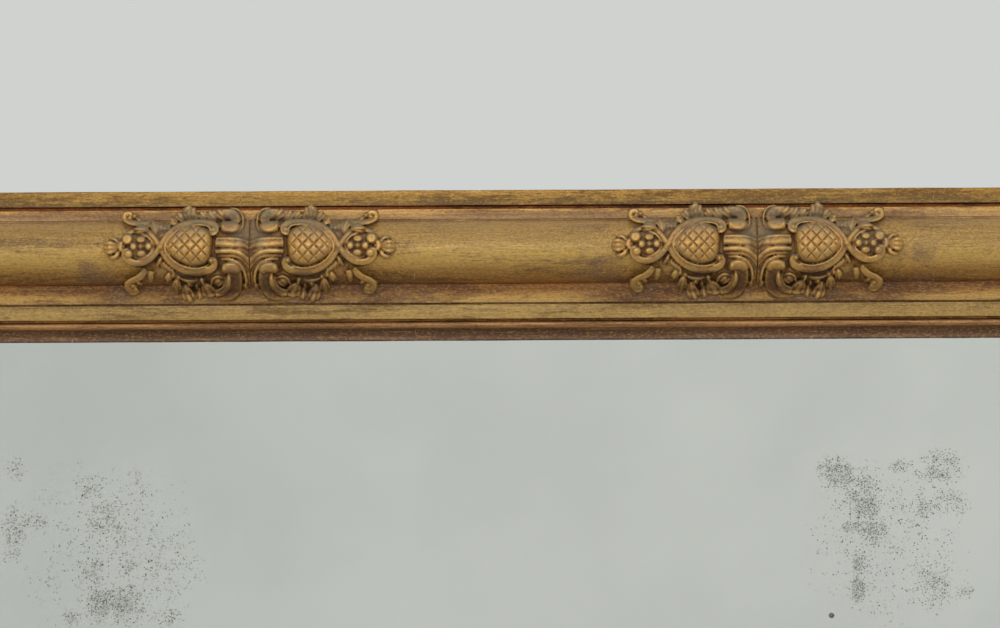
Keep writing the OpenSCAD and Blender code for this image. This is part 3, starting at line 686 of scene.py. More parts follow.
def shell():
    """Ribs that fan out on both sides of the mitre towards the corner."""
    root = Vector((-3, -19))
    sizes = ((0.2, 0.4), (0.5, 0.7), (0.85, 1), (1, 0.7))
    parts = []
    for i in range(7):
        angle = math.radians(137 - 13.5 * i)
        reach = 46 - 2.6 * i
        way = Vector((math.cos(angle), math.sin(angle)))
        parts.append(strand([(*(root + way * reach * share), size) for share, size in sizes], 8.4, 8.4))
        end = root + way * (reach + 1)
        parts.append(drop(end.x, end.y, 3.1, 3.1, 7))
    parts += leaves(((14, -9), (-4, -23), 7, 8), ((20, -14), (8, -31), 7, 8))
    return parts + [drop(-2, 0, 26, 24, 3.4), drop(10, -20, 16, 14, 3.2)]


def bed_level(s):
    """Level of the flat or the fillet beside the torus, and 0 under the torus itself."""
    return np.where(s < TORUS_FROM, FILLET_FACE, np.where(s > TORUS_TO, FLAT_FACE, 0))


def wrapped(piece):
    """Bends the flat ornament over the torus. Heights are measured square to its surface."""
    points = points_of(piece) / MM
    s = ORNAMENT_LINE - points[:, 1]
    lift = points[:, 2]
    across = s - TORUS_AXIS[0]
    round_part = TORUS_AXIS[1] + np.sqrt(np.clip((TORUS_RADIUS + lift) ** 2 - across ** 2, 0, None))
    points[:, 2] = np.maximum(round_part, bed_level(s) + lift)
    set_points(piece, points * MM)


TRELLIS_MIDDLE = (45.9, 1.4)
TRELLIS_PITCH = (8.9, 9.5)
GROOVE_DEPTH, GROOVE_WIDTH = 0.55, 0.62
DISH_DEPTH, DISH_WIDTH = 0.16, 1.6


def trellis(piece):
    """Cuts the crossing grooves of the trellis into the cushion, and a line round them."""
    points = points_of(piece) / MM
    u, v = points[:, 0], points[:, 1]
    share = cushion_share(u, v)[0]
    limit = 0.93 - 0.13 * np.clip((u - 52) / 12, 0, 1)
    field = np.clip((limit - share) / 0.05, 0, 1)
    right, up = (u - TRELLIS_MIDDLE[0]) / TRELLIS_PITCH[0], (v - TRELLIS_MIDDLE[1]) / TRELLIS_PITCH[1]
    square = TRELLIS_PITCH[0] * TRELLIS_PITCH[1] / math.hypot(*TRELLIS_PITCH)
    turns = np.array([right - up + 0.5, right + up + 0.5])
    nearest = (np.abs(turns - np.round(turns)) * square).min(0)
    groove = GROOVE_DEPTH * np.exp(-(nearest / GROOVE_WIDTH) ** 2)
    dish = DISH_DEPTH * np.exp(-(nearest / DISH_WIDTH) ** 2)
    border = GROOVE_DEPTH * np.exp(-((share - limit - 0.02) / 0.03) ** 2)
    points[:, 2] -= np.maximum((groove + dish) * field, border) * (share < 0.97)
    set_points(piece, points * MM)


# Where old dirt lies thick on each half, with painted shade in the gutters and under the lower leaves: the
# middle (u, v), the half sizes and how much.
DIRT_AND_SHADE = [
    (11, -28, 4.6, 9, 1), (15, -36, 6, 5, 0.9), (20.6, -27.6, 3.4, 4, 0.7), (24, -9, 3, 16, 0.45),
    (41, -23.6, 17, 3, 0.8), (19.4, 23.4, 2.4, 2, 0.9), (47, 23.2, 4, 1.8, 0.7), (60, 14.6, 6, 3, 0.3),
    (44, -34, 3, 6, 0.7), (85, 0, 9, 9, 0.3), (72, -8, 6, 9, 0.4), (86, -17.6, 12, 3, 0.6),
    (12, 9.4, 12, 3, 0.6), (8, -31, 4, 9, 0.5), (2, 2, 5, 18, 0.6), (12, 24.6, 7, 5, 0.4),
    (17.4, 21.6, 3, 2.4, 1), (46, -32, 26, 9, 0.5), (16, -37, 12, 7, 0.7),
]

# Where grey dust lies on the face of the upper parts, in the same way.
DUSTY = [
    (13, 25, 9, 5, 1), (6, 8, 9, 8, 0.8), (30, 24, 10, 6, 0.8), (50, 25, 14, 7, 0.8), (68, 15, 10, 7, 0.9),
    (84, 17, 8, 4, 0.8), (40, 19, 18, 3, 0.7), (28, 14, 5, 5, 0.6), (46, 10, 14, 5, 0.3),
]


def keep_patches(piece, name, patches):
    """Stores how much of something lies at each point of an ornament, from a table of patches."""
    points = points_of(piece) / MM
    amount = np.zeros(len(points))
    for u, v, half_u, half_v, much in patches:
        away = np.hypot((points[:, 0] - u) / half_u, (points[:, 1] - v) / half_v)
        amount = np.maximum(amount, np.clip((1.15 - away) / 0.6, 0, 1) * much)
    keep(piece, name, amount)


def keep_recess(piece):
    """Stores how deep each point lies among its neighbours: 1 in a hollow, 0 on an open crest."""
    edges = np.empty(len(piece.data.edges) * 2, np.int32)
    piece.data.edges.foreach_get("vertices", edges)
    one, other = edges.reshape(-1, 2).T
    points = points_of(piece)
    count = np.bincount(edges, minlength=len(points)).clip(1)[:, None]
    normals = vectors_of(piece, "normal")
    weights = {5: 0.9, 22: 0.42}
    soft = points
    recess = np.zeros(len(points))
    for ring in range(1, max(weights) + 1):
        total = np.zeros_like(soft)
        for axis in range(3):
            for here, there in ((one, other), (other, one)):
                total[:, axis] += np.bincount(here, soft[there, axis], len(points))
        soft = total / count
        if ring in weights:
            recess += ((soft - points) * normals).sum(1) / MM * weights[ring]
    keep(piece, "recess", np.clip(0.5 + recess * 0.5, 0, 1))


def modelled_half(name, corner):
    """One cast half of an ornament, modelled flat, bent over the torus and made one skin."""
    parts = cartouche() + heart() + bud() + top_leaves() + bottom_leaves() + hatching() + ground(corner)
    parts += shell() if corner else collar() + upper_scroll() + lower_scroll()
    piece = joined(name, parts)
    settle()
    wrapped(piece)
    edit(piece)
    bpy.ops.mesh.remove_doubles(threshold=MERGE)
    leave()
    finish_with(piece, "REMESH", mode="VOXEL", voxel_size=CAST_GRAIN * MM)
    finish_with(piece, "SMOOTH", factor=0.5, iterations=2)
    trellis(piece)
    roughen(piece, CAST_SKIN, "LOCAL", 0.22, 0.5)
    keep_recess(piece)
    cap(piece, FRONT_LIMIT)
    finish_with(piece, "DECIMATE", ratio=CAST_SHARE_KEPT)
    keep_patches(piece, "dirt_and_shade", DIRT_AND_SHADE)
    keep_patches(piece, "greyed", DUSTY)
    return piece


def ornament(master, name, node, place, number):
    """One casting in its place, with gilding of its own and dust where it faces up."""
    piece = copied(master, name)
    keep_run(piece, number * CAST_SHIFT)
    stood(piece, place)
    keep(piece, "dust", np.clip(vectors_of(piece, "normal")[:, 2], 0, 1))
    pick(piece)
    bpy.ops.object.shade_smooth()
    take_over(piece, node, COMPOSITION)


def flat_place(side, x, way):
    """Where a half lies on a side, with its joint at x and its bud towards way."""
    line = Matrix.Translation((x, -ORNAMENT_LINE * MM, 0))
    return side_place(side) @ line @ Matrix.Diagonal((way, 1, 1, 1))


# Each pair of halves: its name, its side, the place of its joint, and the way that half a's bud points.
PAIRS = [
    ("top_left", "top", -ORNAMENT_PITCH, -1), ("top_right", "top", ORNAMENT_PITCH, -1),
    ("bottom_left", "bottom", ORNAMENT_PITCH, 1), ("bottom_right", "bottom", -ORNAMENT_PITCH, 1),
    ("left", "left", 0, 1), ("right", "right", 0, -1),
]
# Each corner: its name, then the side and the end of that side for half a and for half b.
CORNERS = [
    ("top_left", ("top", -1), ("left", 1)), ("top_right", ("top", 1), ("right", -1)),
    ("bottom_left", ("bottom", 1), ("left", -1)), ("bottom_right", ("bottom", -1), ("right", 1)),
]


def make_ornaments():
    half = modelled_half("cast_half", corner=False)
    cut_off(half, Vector((JOINT_TRIM * MM, 0, 0)), Vector((-1, 0, 0)))
    number = 0
    for name, side, joint, way in PAIRS:
        for letter, hand in (("a", way), ("b", -way)):
            place = flat_place(side, (joint + hand * HALF_GAP) * MM, hand)
            ornament(half, f"ornament_{name}_{letter}", f"cartouche_{name}_{letter}", place, number)
            number += 1
    bpy.data.objects.remove(half)
    half = modelled_half("cast_corner", corner=True)
    cut_off(half, Vector((math.sqrt(2) * HALF_GAP - CORNER_SHIFT, 0, 0)) * MM, Vector((-1, -1, 0)))
    for name, *ends in CORNERS:
        for letter, (side, end) in zip("ab", ends):
            joint = end * (side_length(side) / 2 - (ORNAMENT_LINE + CORNER_SHIFT) * MM)
            place = flat_place(side, joint, -end)
            ornament(half, f"ornament_corner_{name}_{letter}", f"corner_{name}_{letter}", place, number)
            number += 1
    bpy.data.objects.remove(half)


# ---------- finishes ----------

def linear(red, green, blue):
    """A colour named by its 0 to 255 values on screen."""
    def one(value):
        value /= 255
        return value / 12.92 if value <= 0.04045 else ((value + 0.055) / 1.055) ** 2.4
    return (one(red), one(green), one(blue), 1)


class Tree:
    """A node tree and the few node moves that the finishes and the room share."""

    def __init__(self, tree):
        self.tree = tree

    def node(self, kind, inputs=None, **settings):
        node = self.tree.nodes.new(kind)
        for key, value in settings.items():
            setattr(node, key, value)
        for key, value in (inputs or {}).items():
            self.feed(node.inputs[key], value)
        return node

    def feed(self, socket, value):
        if isinstance(value, bpy.types.NodeSocket):
            self.tree.links.new(value, socket)
        else:
            socket.default_value = value

    def attribute(self, name, output="Fac"):
        return self.node("ShaderNodeAttribute", attribute_name=name).outputs[output]

    def object_place(self):
        return self.node("ShaderNodeTexCoord").outputs["Object"]

    def stretched(self, vector, scale, shift=(0, 0, 0), turn=(0, 0, 0)):
        inputs = {"Vector": vector, "Scale": scale, "Location": shift, "Rotation": turn}
        return self.node("ShaderNodeMapping", inputs).outputs["Vector"]

    def noise(self, vector, scale, detail=4.0, rough=0.55, distortion=0.0):
        inputs = {"Vector": vector, "Scale": scale, "Detail": detail, "Roughness": rough,
                  "Distortion": distortion}
        return self.node("ShaderNodeTexNoise", inputs).outputs["Fac"]

    def streaks(self, vector, scale, detail=5.0, rough=0.7, shift=(0, 0, 0), distortion=0.0):
        """Noise that is drawn out differently along each axis."""
        return self.noise(self.stretched(vector, scale, shift), 1.0, detail, rough, distortion)

    def span(self, value, low, high, out_low=0.0, out_high=1.0):
        """Takes a range of a value smoothly to another."""
        inputs = {"Value": value, "From Min": low, "From Max": high, "To Min": out_low, "To Max": out_high}
        return self.node("ShaderNodeMapRange", inputs, interpolation_type="SMOOTHSTEP").outputs["Result"]

    def maths(self, operation, a, b=0.0):
        return self.node("ShaderNodeMath", {0: a, 1: b}, operation=operation).outputs["Value"]

    def plus(self, a, b):
        return self.maths("ADD", a, b)

    def less(self, a, b):
        return self.maths("SUBTRACT", a, b)

    def times(self, a, b):
        return self.maths("MULTIPLY", a, b)

    def larger(self, a, b):
        return self.maths("MAXIMUM", a, b)

    def length(self, vector):
        return self.node("ShaderNodeVectorMath", {0: vector}, operation="LENGTH").outputs["Value"]

    def mixed(self, share, a, b):
        return self.node("ShaderNodeMix", {0: share, 6: a, 7: b}, data_type="RGBA").outputs[2]

    def ramp(self, value, stops):
        """A colour ramp. Each stop is (place from 0 to 1, colour)."""
        node = self.node("ShaderNodeValToRGB", {"Fac": value})
        marks = node.color_ramp.elements
        while len(marks) < len(stops):
            marks.new(0.5)
        for mark, (place, colour) in zip(marks, stops):
            mark.position = place
            mark.color = colour
        return node.outputs["Color"]

    def across(self, vector, axis):
        return self.node("ShaderNodeSeparateXYZ", {"Vector": vector}).outputs[axis]

    def seen(self):
        """1 for what the camera sees, straight or by way of the mirror, and 0 for what only gives light."""
        path = self.node("ShaderNodeLightPath")
        seen = self.larger(path.outputs["Is Camera Ray"], path.outputs["Is Glossy Ray"])
        return self.larger(seen, path.outputs["Is Transmission Ray"])

    def surface(self, share, one, other, output):
        """Mixes two shaders by a share and sends them to the output node of that name."""
        mix = self.node("ShaderNodeMixShader", {0: share, 1: one.outputs[0], 2: other.outputs[0]})
        self.tree.links.new(mix.outputs[0], self.tree.nodes[output].inputs["Surface"])


class Finish(Tree):
    """A material."""

    def __init__(self, name, metallic=0.0, roughness=0.5, ior=1.45):
        self.material = bpy.data.materials.new(name)
        self.material.use_nodes = True
        super().__init__(self.material.node_tree)
        self.shader = self.tree.nodes["Principled BSDF"]
        for key, value in (("Metallic", metallic), ("Roughness", roughness), ("IOR", ior)):
            self.shader.inputs[key].default_value = value

    def bump(self, height, strength, distance):
        inputs = {"Height": height, "Strength": strength, "Distance": distance * MM}
        self.feed(self.shader.inputs["Normal"], self.node("ShaderNodeBump", inputs).outputs["Normal"])

    def done(self, colour, roughness=None):
        """Sets the colour and, where it varies, the roughness, and gives the material."""
        self.feed(self.shader.inputs["Base Color"], colour)
        if roughness is not None:
            self.feed(self.shader.inputs["Roughness"], roughness)
        return self.material


OLIVE_GOLD = linear(168, 146, 90)
PLUM = linear(128, 98, 74)
UMBER = linear(88, 58, 32)
SHADOW = linear(52, 30, 16)
DUST = linear(136, 126, 104)


def banded(stops, which):
    """One column of a table of tones, as ramp stops."""
    start, end = stops[0][0], stops[-1][0]
    marks = []
    for s, *columns in stops:
        tone = columns[which]
        colour = linear(*tone) if isinstance(tone, tuple) else (tone, tone, tone, 1)
        marks.append(((s - start) / (end - start), colour))
    return marks


def toned_leaf(finish, run, fine, stops):
    """The leaf toned strip by strip, with the painted light and shade that a table holds, and how far it is
    worn at each place.
    """
    start, end = stops[0][0], stops[-1][0]
    inwards = finish.times(finish.across(run, "Y"), -1 / MM)
    share = finish.maths("DIVIDE", finish.less(inwards, start), end - start)
    leaf_tone_with_painted_light, worn_tone_with_painted_light, much = (finish.ramp(share, banded(stops, column)) for column in range(3))
    broad = finish.streaks(run, (8, 62, 62), 5.0, 0.6, (3, 0, 0), 0.5)
    ragged = finish.plus(broad, finish.times(finish.less(fine, 0.5), 0.5))
    least = finish.less(0.74, finish.times(much, 0.46))
    worn = finish.span(finish.less(ragged, least), -0.07, 0.06)
    return finish.mixed(worn, leaf_tone_with_painted_light, worn_tone_with_painted_light), worn


def brushed_leaf(finish, run, fine, brushed, colour):
    """Brush marks along the strip, and streaks where the leaf is still bright."""
    brown = finish.mixed(0.6, colour, UMBER)
    colour = finish.mixed(finish.span(brushed, 0.42, 0.70, 0.0, 0.5), colour, brown)
    gleam = finish.streaks(run, (17, 420, 420), 6.0, 0.65, (0, 2, 0))
    gleam = finish.times(finish.span(gleam, 0.54, 0.70, 0.0, 0.6), finish.span(fine, 0.36, 0.6, 0.3, 1.0))
    return finish.mixed(gleam, colour, finish.mixed(0.55, colour, linear(226, 184, 104)))


def patched_leaf(finish, run, fine, sponge, near, colour):
    """Round the ornaments: gold sponged on, rust between it, old dirt with painted shadow below them, and
    smears at the patch's rim.
    """
    sponged = finish.times(finish.span(sponge, 0.48, 0.62), near)
    colour = finish.mixed(finish.times(sponged, 0.6), colour, linear(196, 148, 64))
    rust = finish.times(finish.span(sponge, 0.48, 0.38), near)
    colour = finish.mixed(finish.times(rust, 0.5), colour, linear(126, 78, 38))
    smoky = finish.streaks(run, (30, 110, 110), 5.0, 0.65, (1, 0, 0))
    # Paints the ornaments' shadow, together with dirt, under them; on the fillet the same mark is dirt alone.
    shadow_and_dirt = finish.times(finish.attribute("shadow_and_dirt"), finish.span(smoky, 0.36, 0.60, 0.35, 0.95))
    dirt_and_shade = finish.mixed(finish.span(fine, 0.35, 0.6), linear(76, 54, 44), linear(112, 68, 32))
    colour = finish.mixed(shadow_and_dirt, colour, dirt_and_shade)
    smear = finish.times(near, finish.less(1.0, near))
    smear = finish.times(smear, finish.span(finish.noise(run, 40), 0.50, 0.66, 0.0, 2.6))
    return finish.mixed(smear, colour, linear(116, 88, 68))


def grained_leaf(finish, run, colour):
    """The fine grain of the gilding, light and dark, and dark specks."""
    grain = finish.streaks(run, (380, 760, 760), 4.0, 0.75)
    colour = finish.mixed(finish.span(grain, 0.50, 0.64, 0.0, 0.34), colour, linear(216, 168, 80))
    colour = finish.mixed(finish.span(grain, 0.50, 0.37, 0.0, 0.38), colour, linear(96, 60, 26))
    return finish.mixed(finish.span(finish.noise(run, 1500, 2.0), 0.69, 0.77, 0.0, 0.6), colour, SHADOW)


def cracks(finish, run):
    """Fine cracks straight across the strip, here and there."""
    wobble = finish.times(finish.noise(run, 150), 0.028)
    line = finish.plus(finish.times(finish.across(run, "X"), 7.3), wobble)
    line = finish.maths("ABSOLUTE", finish.less(finish.maths("FRACT", line), 0.5))
    where = finish.span(finish.streaks(run, (7.3, 60, 60), 0.0, 0.55), 0.54, 0.58)
    crack = finish.times(finish.span(line, 0.0010, 0.0030, 1.0, 0.0), where)
    return finish.times(crack, finish.span(finish.noise(run, 260, 2.0), 0.40, 0.55, 0.1, 1.0))


def gilding(name, stops, roughness=0.42):
    """Leaf on bole and gesso, toned by a table of stops, worn, brushed, patched, grained and cracked.

    Each stop is the distance in, the leaf's tone, its tone where it is worn, and how much of it is worn."""
    finish = Finish(name, metallic=0.3, roughness=roughness)
    run, near = finish.attribute("run", "Vector"), finish.attribute("near")
    fine = finish.streaks(run, (90, 520, 520))
    brushed = finish.streaks(run, (26, 1500, 1500))
    sponge = finish.noise(run, 430, 5.0, 0.75)
    colour, worn = toned_leaf(finish, run, fine, stops)
    colour = brushed_leaf(finish, run, fine, brushed, colour)
    colour = patched_leaf(finish, run, fine, sponge, near, colour)
    colour = grained_leaf(finish, run, colour)
    crack = cracks(finish, run)
    gesso = finish.mixed(finish.span(fine, 0.42, 0.52), linear(74, 50, 30), linear(206, 178, 130))
    colour = finish.mixed(finish.times(crack, 0.6), colour, gesso)
    behind = finish.span(finish.across(run, "Z"), (BACK + 0.35) * MM, (BACK + 0.15) * MM)
    colour = finish.mixed(behind, colour, finish.mixed(brushed, linear(176, 140, 98), linear(120, 86, 54)))
    height = finish.plus(brushed, finish.times(sponge, finish.plus(near, 0.3)))
    finish.bump(finish.less(height, crack), 0.5, 0.25)
    dull = finish.span(brushed, 0.3, 0.7, roughness - 0.06, roughness + 0.12)
    return finish.done(colour, finish.plus(dull, finish.times(worn, 0.18)))


def composition_finish():
    """Toned gilding on the castings: dirt and painted shade in the hollows, a painted highlight on the open
    crests, dust on top and patches rubbed to a pink-brown.
    """
    finish = Finish("gilded_composition", metallic=0.4, roughness=0.44)
    run, dirt_and_shade = finish.attribute("run", "Vector"), finish.attribute("dirt_and_shade")
    grime = finish.noise(run, 420, 5.0, 0.68)
    hollow = finish.plus(finish.attribute("recess"), finish.span(grime, 0.3, 0.7, -0.08, 0.08))
    hollow = finish.plus(hollow, finish.times(dirt_and_shade, 0.16))
    # The ramp paints shade into the hollows, over their dirt, and a highlight onto the open crests.
    depths = ((0.24, (198, 154, 84)), (0.44, (178, 134, 71)), (0.56, (152, 108, 56)), (0.72, (108, 70, 36)),
              (0.94, (62, 37, 20)))
    colour = finish.ramp(hollow, [(depth, linear(*tone)) for depth, tone in depths])
    rubbed = finish.span(finish.noise(run, 95, 5.0, 0.6), 0.58, 0.72, 0.0, 0.45)
    colour = finish.mixed(rubbed, colour, linear(158, 106, 76))
    colour = finish.mixed(finish.span(finish.noise(run, 45, 5.0, 0.6), 0.50, 0.68, 0.0, 0.5), colour, PLUM)
    olive = finish.noise(finish.stretched(run, (1, 1, 1), (2, 0, 0)), 75, 5.0, 0.6)
    colour = finish.mixed(finish.span(olive, 0.50, 0.64, 0.0, 0.55), colour,
                          finish.mixed(0.6, colour, OLIVE_GOLD))
    # Darkens the listed patches: dirt, with painted shade in the gutters and under the lower leaves.
    dirty_and_shaded = finish.times(dirt_and_shade, finish.span(grime, 0.3, 0.6, 0.45, 0.8))
    colour = finish.mixed(dirty_and_shaded, colour, linear(92, 62, 38))
    up = finish.span(finish.attribute("dust"), 0.35, 0.9)
    dusty = finish.larger(up, finish.times(finish.attribute("greyed"), 0.7))
    dusty = finish.times(dusty, finish.span(grime, 0.25, 0.55, 0.35, 0.85))
    colour = finish.mixed(dusty, colour, DUST)
    colour = finish.mixed(finish.span(finish.noise(run, 1300, 2.0), 0.66, 0.76, 0.0, 0.5), colour, SHADOW)
    finish.bump(finish.plus(grime, finish.noise(run, 1600, 2.0)), 0.4, 0.2)
    dull = finish.span(hollow, 0.35, 0.7, 0.38, 0.75)
    return finish.done(colour, finish.plus(dull, finish.times(dusty, 0.3)))


def timber_finish(name, tone, dark, along, shift):
    """Bare softwood: growth bands and fibres drawn out along the grain, knots, old stains and grime."""
    finish = Finish(name, roughness=0.72, ior=1.4)
    place = finish.stretched(finish.object_place(), (1, 1, 1), shift)

    def drawn_out(long, wide):
        return (long, wide, wide) if along == "X" else (wide, wide, long)

    cells = {"Vector": finish.stretched(place, drawn_out(5, 11)), "Scale": 1.0}
    from_knot = finish.node("ShaderNodeTexVoronoi", cells).outputs["Distance"]
    near_knot = finish.span(from_knot, 0.26, 0.03)
    warp = finish.streaks(place, drawn_out(0.8, 15), 3.0, 0.5, distortion=0.4)
    rings = finish.maths("FRACT", finish.times(finish.plus(warp, finish.times(near_knot, 0.22)), 17.0))
    bands = finish.times(finish.span(rings, 0.05, 0.8), finish.span(rings, 1.0, 0.88))
    fibres = finish.streaks(place, drawn_out(9, 700), 5.0, 0.6)
    colour = finish.mixed(finish.times(bands, 0.5), tone, dark)
    colour = finish.mixed(finish.span(fibres, 0.35, 0.7, 0.0, 0.4), colour, dark)
    colour = finish.mixed(finish.span(from_knot, 0.075, 0.045, 0.0, 0.85), colour, linear(82, 50, 30))
    grime = finish.span(finish.noise(place, 7, 5.0), 0.46, 0.72, 0.0, 0.5)
    colour = finish.mixed(grime, colour, linear(88, 68, 50))
    finish.bump(finish.plus(fibres, finish.times(bands, 0.4)), 0.5, 0.4)
    return finish.done(colour, finish.span(fibres, 0.2, 0.8, 0.62, 0.86))


def metal_finish(name, tone, stain, roughness, metallic):
    """Dull metal, stained in patches and finely spotted."""
    finish = Finish(name, metallic=metallic, roughness=roughness)
    place = finish.object_place()
    broad = finish.noise(place, 130, 5.0, 0.6)
    fine = finish.noise(place, 1400, 3.0)
    colour = finish.mixed(finish.span(broad, 0.4, 0.66, 0.0, 0.8), tone, stain)
    colour = finish.mixed(finish.span(fine, 0.6, 0.75, 0.0, 0.5), colour, SHADOW)
    finish.bump(fine, 0.3, 0.1)
    return finish.done(colour, finish.span(broad, 0.35, 0.7, roughness - 0.08, roughness + 0.25))


def plate_finish():
    """Old plate glass with a faint green cast and a little dust."""
    finish = Finish("plate_glass", roughness=0.0, ior=1.5)
    finish.shader.inputs["Transmission Weight"].default_value = 1.0
    film = finish.span(finish.noise(finish.object_place(), 900, 2.0), 0.68, 0.82, 0.0, 0.12)
    return finish.done(finish.mixed(film, linear(253, 255, 252), linear(226, 226, 218)))


# Where the silver has foxed, in millimetres: the middle (x, z), the half sizes and how thick the specks lie.
FOXING = [
    (265, 675, 21, 18, 0.85), (286, 652, 20, 28, 0.7), (277, 634, 11, 11, 0.8), (297, 628, 17, 17, 0.55),
    (283, 603, 7, 16, 0.65), (282, 580, 8, 14, 0.95), (348, 678, 28, 18, 0.6), (344, 649, 35, 17, 0.5),
    (316, 678, 12, 8, 0.4), (344, 580, 22, 25, 0.35), (368, 578, 10, 8, 0.5), (299, 563, 13, 8, 0.35),
    (307, 619, 83, 83, 0.16), (-315, 638, 26, 18, 0.45), (-313, 572, 30, 26, 0.68), (-300, 612, 12, 24, 0.5),
    (-327, 598, 22, 14, 0.4), (-334, 666, 14, 14, 0.25), (-296, 667, 14, 16, 0.25), (-388, 679, 14, 14, 0.3),
    (-393, 627, 14, 30, 0.5), (-375, 638, 12, 10, 0.35), (-267, 598, 24, 30, 0.25), (-270, 560, 20, 10, 0.4),
    (-347, 561, 10, 8, 0.35), (-318, 615, 98, 98, 0.14), (-446, 250, 60, 90, 0.5), (-470, 420, 36, 60, 0.4),
    (452, 300, 50, 80, 0.55), (470, 180, 60, 50, 0.5), (60, 150, 160, 26, 0.5), (-240, 138, 120, 20, 0.4),
    (300, 130, 70, 18, 0.5), (0, 450, 640, 420, 0.02),
]
LOST_SPOT = (261, 559, 2.4)


def away_from(finish, place, x, z, half_x, half_z):
    """How far each place on the plate lies from a spot's middle: 1 at the spot's rim."""
    scale = (1 / half_x / MM, 0, 1 / half_z / MM)
    return finish.length(finish.stretched(place, scale, (-x / half_x, 0, -z / half_z)))


def foxing_field(finish, place):
    """How thick the specks lie at each place on the plate."""
    field = 0.0
    for x, z, half_x, half_z, thick in FOXING:
        away = away_from(finish, place, x, z, half_x, half_z)
        field = finish.plus(field, finish.span(away, 0.25, 1.0, thick, 0.0))
    return field


def specks(finish, place, size, field, least):
    """Round specks of at least this radius in cells of this size, more of them where the field is high."""
    turned = finish.stretched(place, (1, 1, 1), turn=(math.radians(90), 0, 0))
    cells = finish.node("ShaderNodeTexVoronoi", {"Vector": turned, "Scale": 1 / size / MM},
                        voronoi_dimensions="2D")
    chance = finish.node("ShaderNodeSeparateColor", {"Color": cells.outputs["Color"]}).outputs
    there = finish.span(finish.less(field, chance["Red"]), 0.0, 0.06)
    radius = finish.plus(finish.times(chance["Green"], 0.20), least)
    disc = finish.span(finish.less(radius, cells.outputs["Distance"]), -0.10, 0.08)
    depth = finish.plus(finish.times(chance["Blue"], 0.7), 0.3)
    return finish.times(finish.times(there, disc), depth)


def silver_finish():
    """The silver behind the glass, foxed in clusters, thinly specked all over, and painted darker towards the
    left as a dimmer reflection.
    """
    finish = Finish("foxed_silver", metallic=1.0, roughness=0.02)
    place = finish.object_place()
    patchy = finish.noise(place, 62, 6.0, 0.62, 0.4)
    field = finish.times(foxing_field(finish, place), finish.span(patchy, 0.34, 0.62, 0.16, 1.35))
    field = finish.maths("MINIMUM", field, 0.95)
    spot = finish.larger(specks(finish, place, 1.25, field, 0.30),
                         specks(finish, place, 2.3, finish.times(field, 0.55), 0.16))
    x, z, radius = LOST_SPOT
    spot = finish.larger(spot, finish.span(away_from(finish, place, x, z, radius, radius), 0.8, 1.05, 1, 0))
    cloud = finish.span(finish.noise(place, 5, 3.0), 0.35, 0.65)
    colour = finish.mixed(cloud, linear(238, 236, 237), linear(231, 229, 230))
    # Painted reflection: the silver is darker towards the left, where it shows dimmer surroundings.
    painted_dim_reflection = finish.span(finish.across(place, "X"), 0.05, -0.42, 0.0, 0.16)
    colour = finish.mixed(painted_dim_reflection, colour, linear(150, 156, 158))
    colour = finish.mixed(finish.times(field, 0.26), colour, linear(176, 172, 158))
    colour = finish.mixed(finish.times(spot, 0.94), colour, linear(84, 80, 70))
    return finish.done(colour, finish.times(spot, 0.35))


# How the strips are toned: the distance in, the leaf, the same where it is worn, and how much of it is worn.
EDGE_TONES = [
    (0, (136, 92, 34), (98, 66, 34), 0.4), (1.2, (162, 120, 40), (134, 92, 34), 0.32),
    (5, (150, 108, 32), (118, 84, 34), 0.4), (7.5, (162, 122, 46), (120, 90, 46), 0.5),
    (11, (156, 120, 58), (116, 90, 56), 0.5), (12.4, (150, 100, 50), (110, 76, 44), 0.5),
]
# The torus table also paints light and shade into the leaf: from 32 to 72 its tones rise to a painted
# highlight at the crest, 50 to 56, and fall to a darker brown towards the foot, painted shade with wear;
# the dark stops at 74.4 and 90.1 are painted shade in the quirks over worn bole, and the flat from 75.4
# to 79 is darker from worn bole and painted shade under the torus.
TORUS_TONES_AND_PAINTED_LIGHT = [
    (12.4, (176, 88, 20), (124, 60, 18), 0.4), (14.7, (160, 82, 20), (108, 56, 18), 0.4),
    (15.4, (196, 144, 70), (160, 110, 60), 0.3), (17.5, (194, 152, 84), (162, 126, 84), 0.42),
    (20, (184, 142, 82), (156, 120, 82), 0.5), (22.3, (194, 154, 102), (176, 140, 102), 0.5),
    (23.2, (206, 166, 114), (186, 148, 100), 0.5), (23.8, (188, 148, 98), (162, 126, 80), 0.5),
    (24.8, (202, 168, 114), (178, 148, 106), 0.45), (32, (159, 125, 68), (134, 106, 68), 0.26),
    (40, (154, 122, 62), (126, 98, 62), 0.22), (45, (164, 131, 67), (130, 102, 66), 0.2),
    (50, (188, 151, 77), (144, 111, 70), 0.16), (56, (194, 155, 81), (146, 112, 68), 0.16),
    (61, (176, 134, 65), (134, 99, 54), 0.2), (66, (155, 111, 50), (118, 82, 42), 0.26),
    (72, (154, 108, 50), (116, 78, 40), 0.4), (74.4, (134, 74, 27), (98, 52, 22), 0.5),
    (75.4, (152, 96, 44), (112, 68, 36), 0.55), (79, (140, 92, 44), (108, 68, 38), 0.6),
    (83, (190, 142, 74), (132, 92, 56), 0.46), (86, (200, 158, 86), (144, 106, 63), 0.34),
    (88.8, (184, 146, 82), (142, 106, 66), 0.34), (89.6, (160, 118, 60), (118, 84, 44), 0.5),
    (90.1, (104, 72, 34), (80, 56, 28), 0.5), (90.8, (146, 117, 59), (122, 95, 50), 0.32),
    (97, (162, 131, 70), (126, 98, 54), 0.34), (101.4, (174, 142, 78), (140, 108, 58), 0.36),
    (102.4, (176, 116, 50), (130, 84, 36), 0.5), (104.2, (150, 96, 38), (110, 68, 28), 0.5),
]
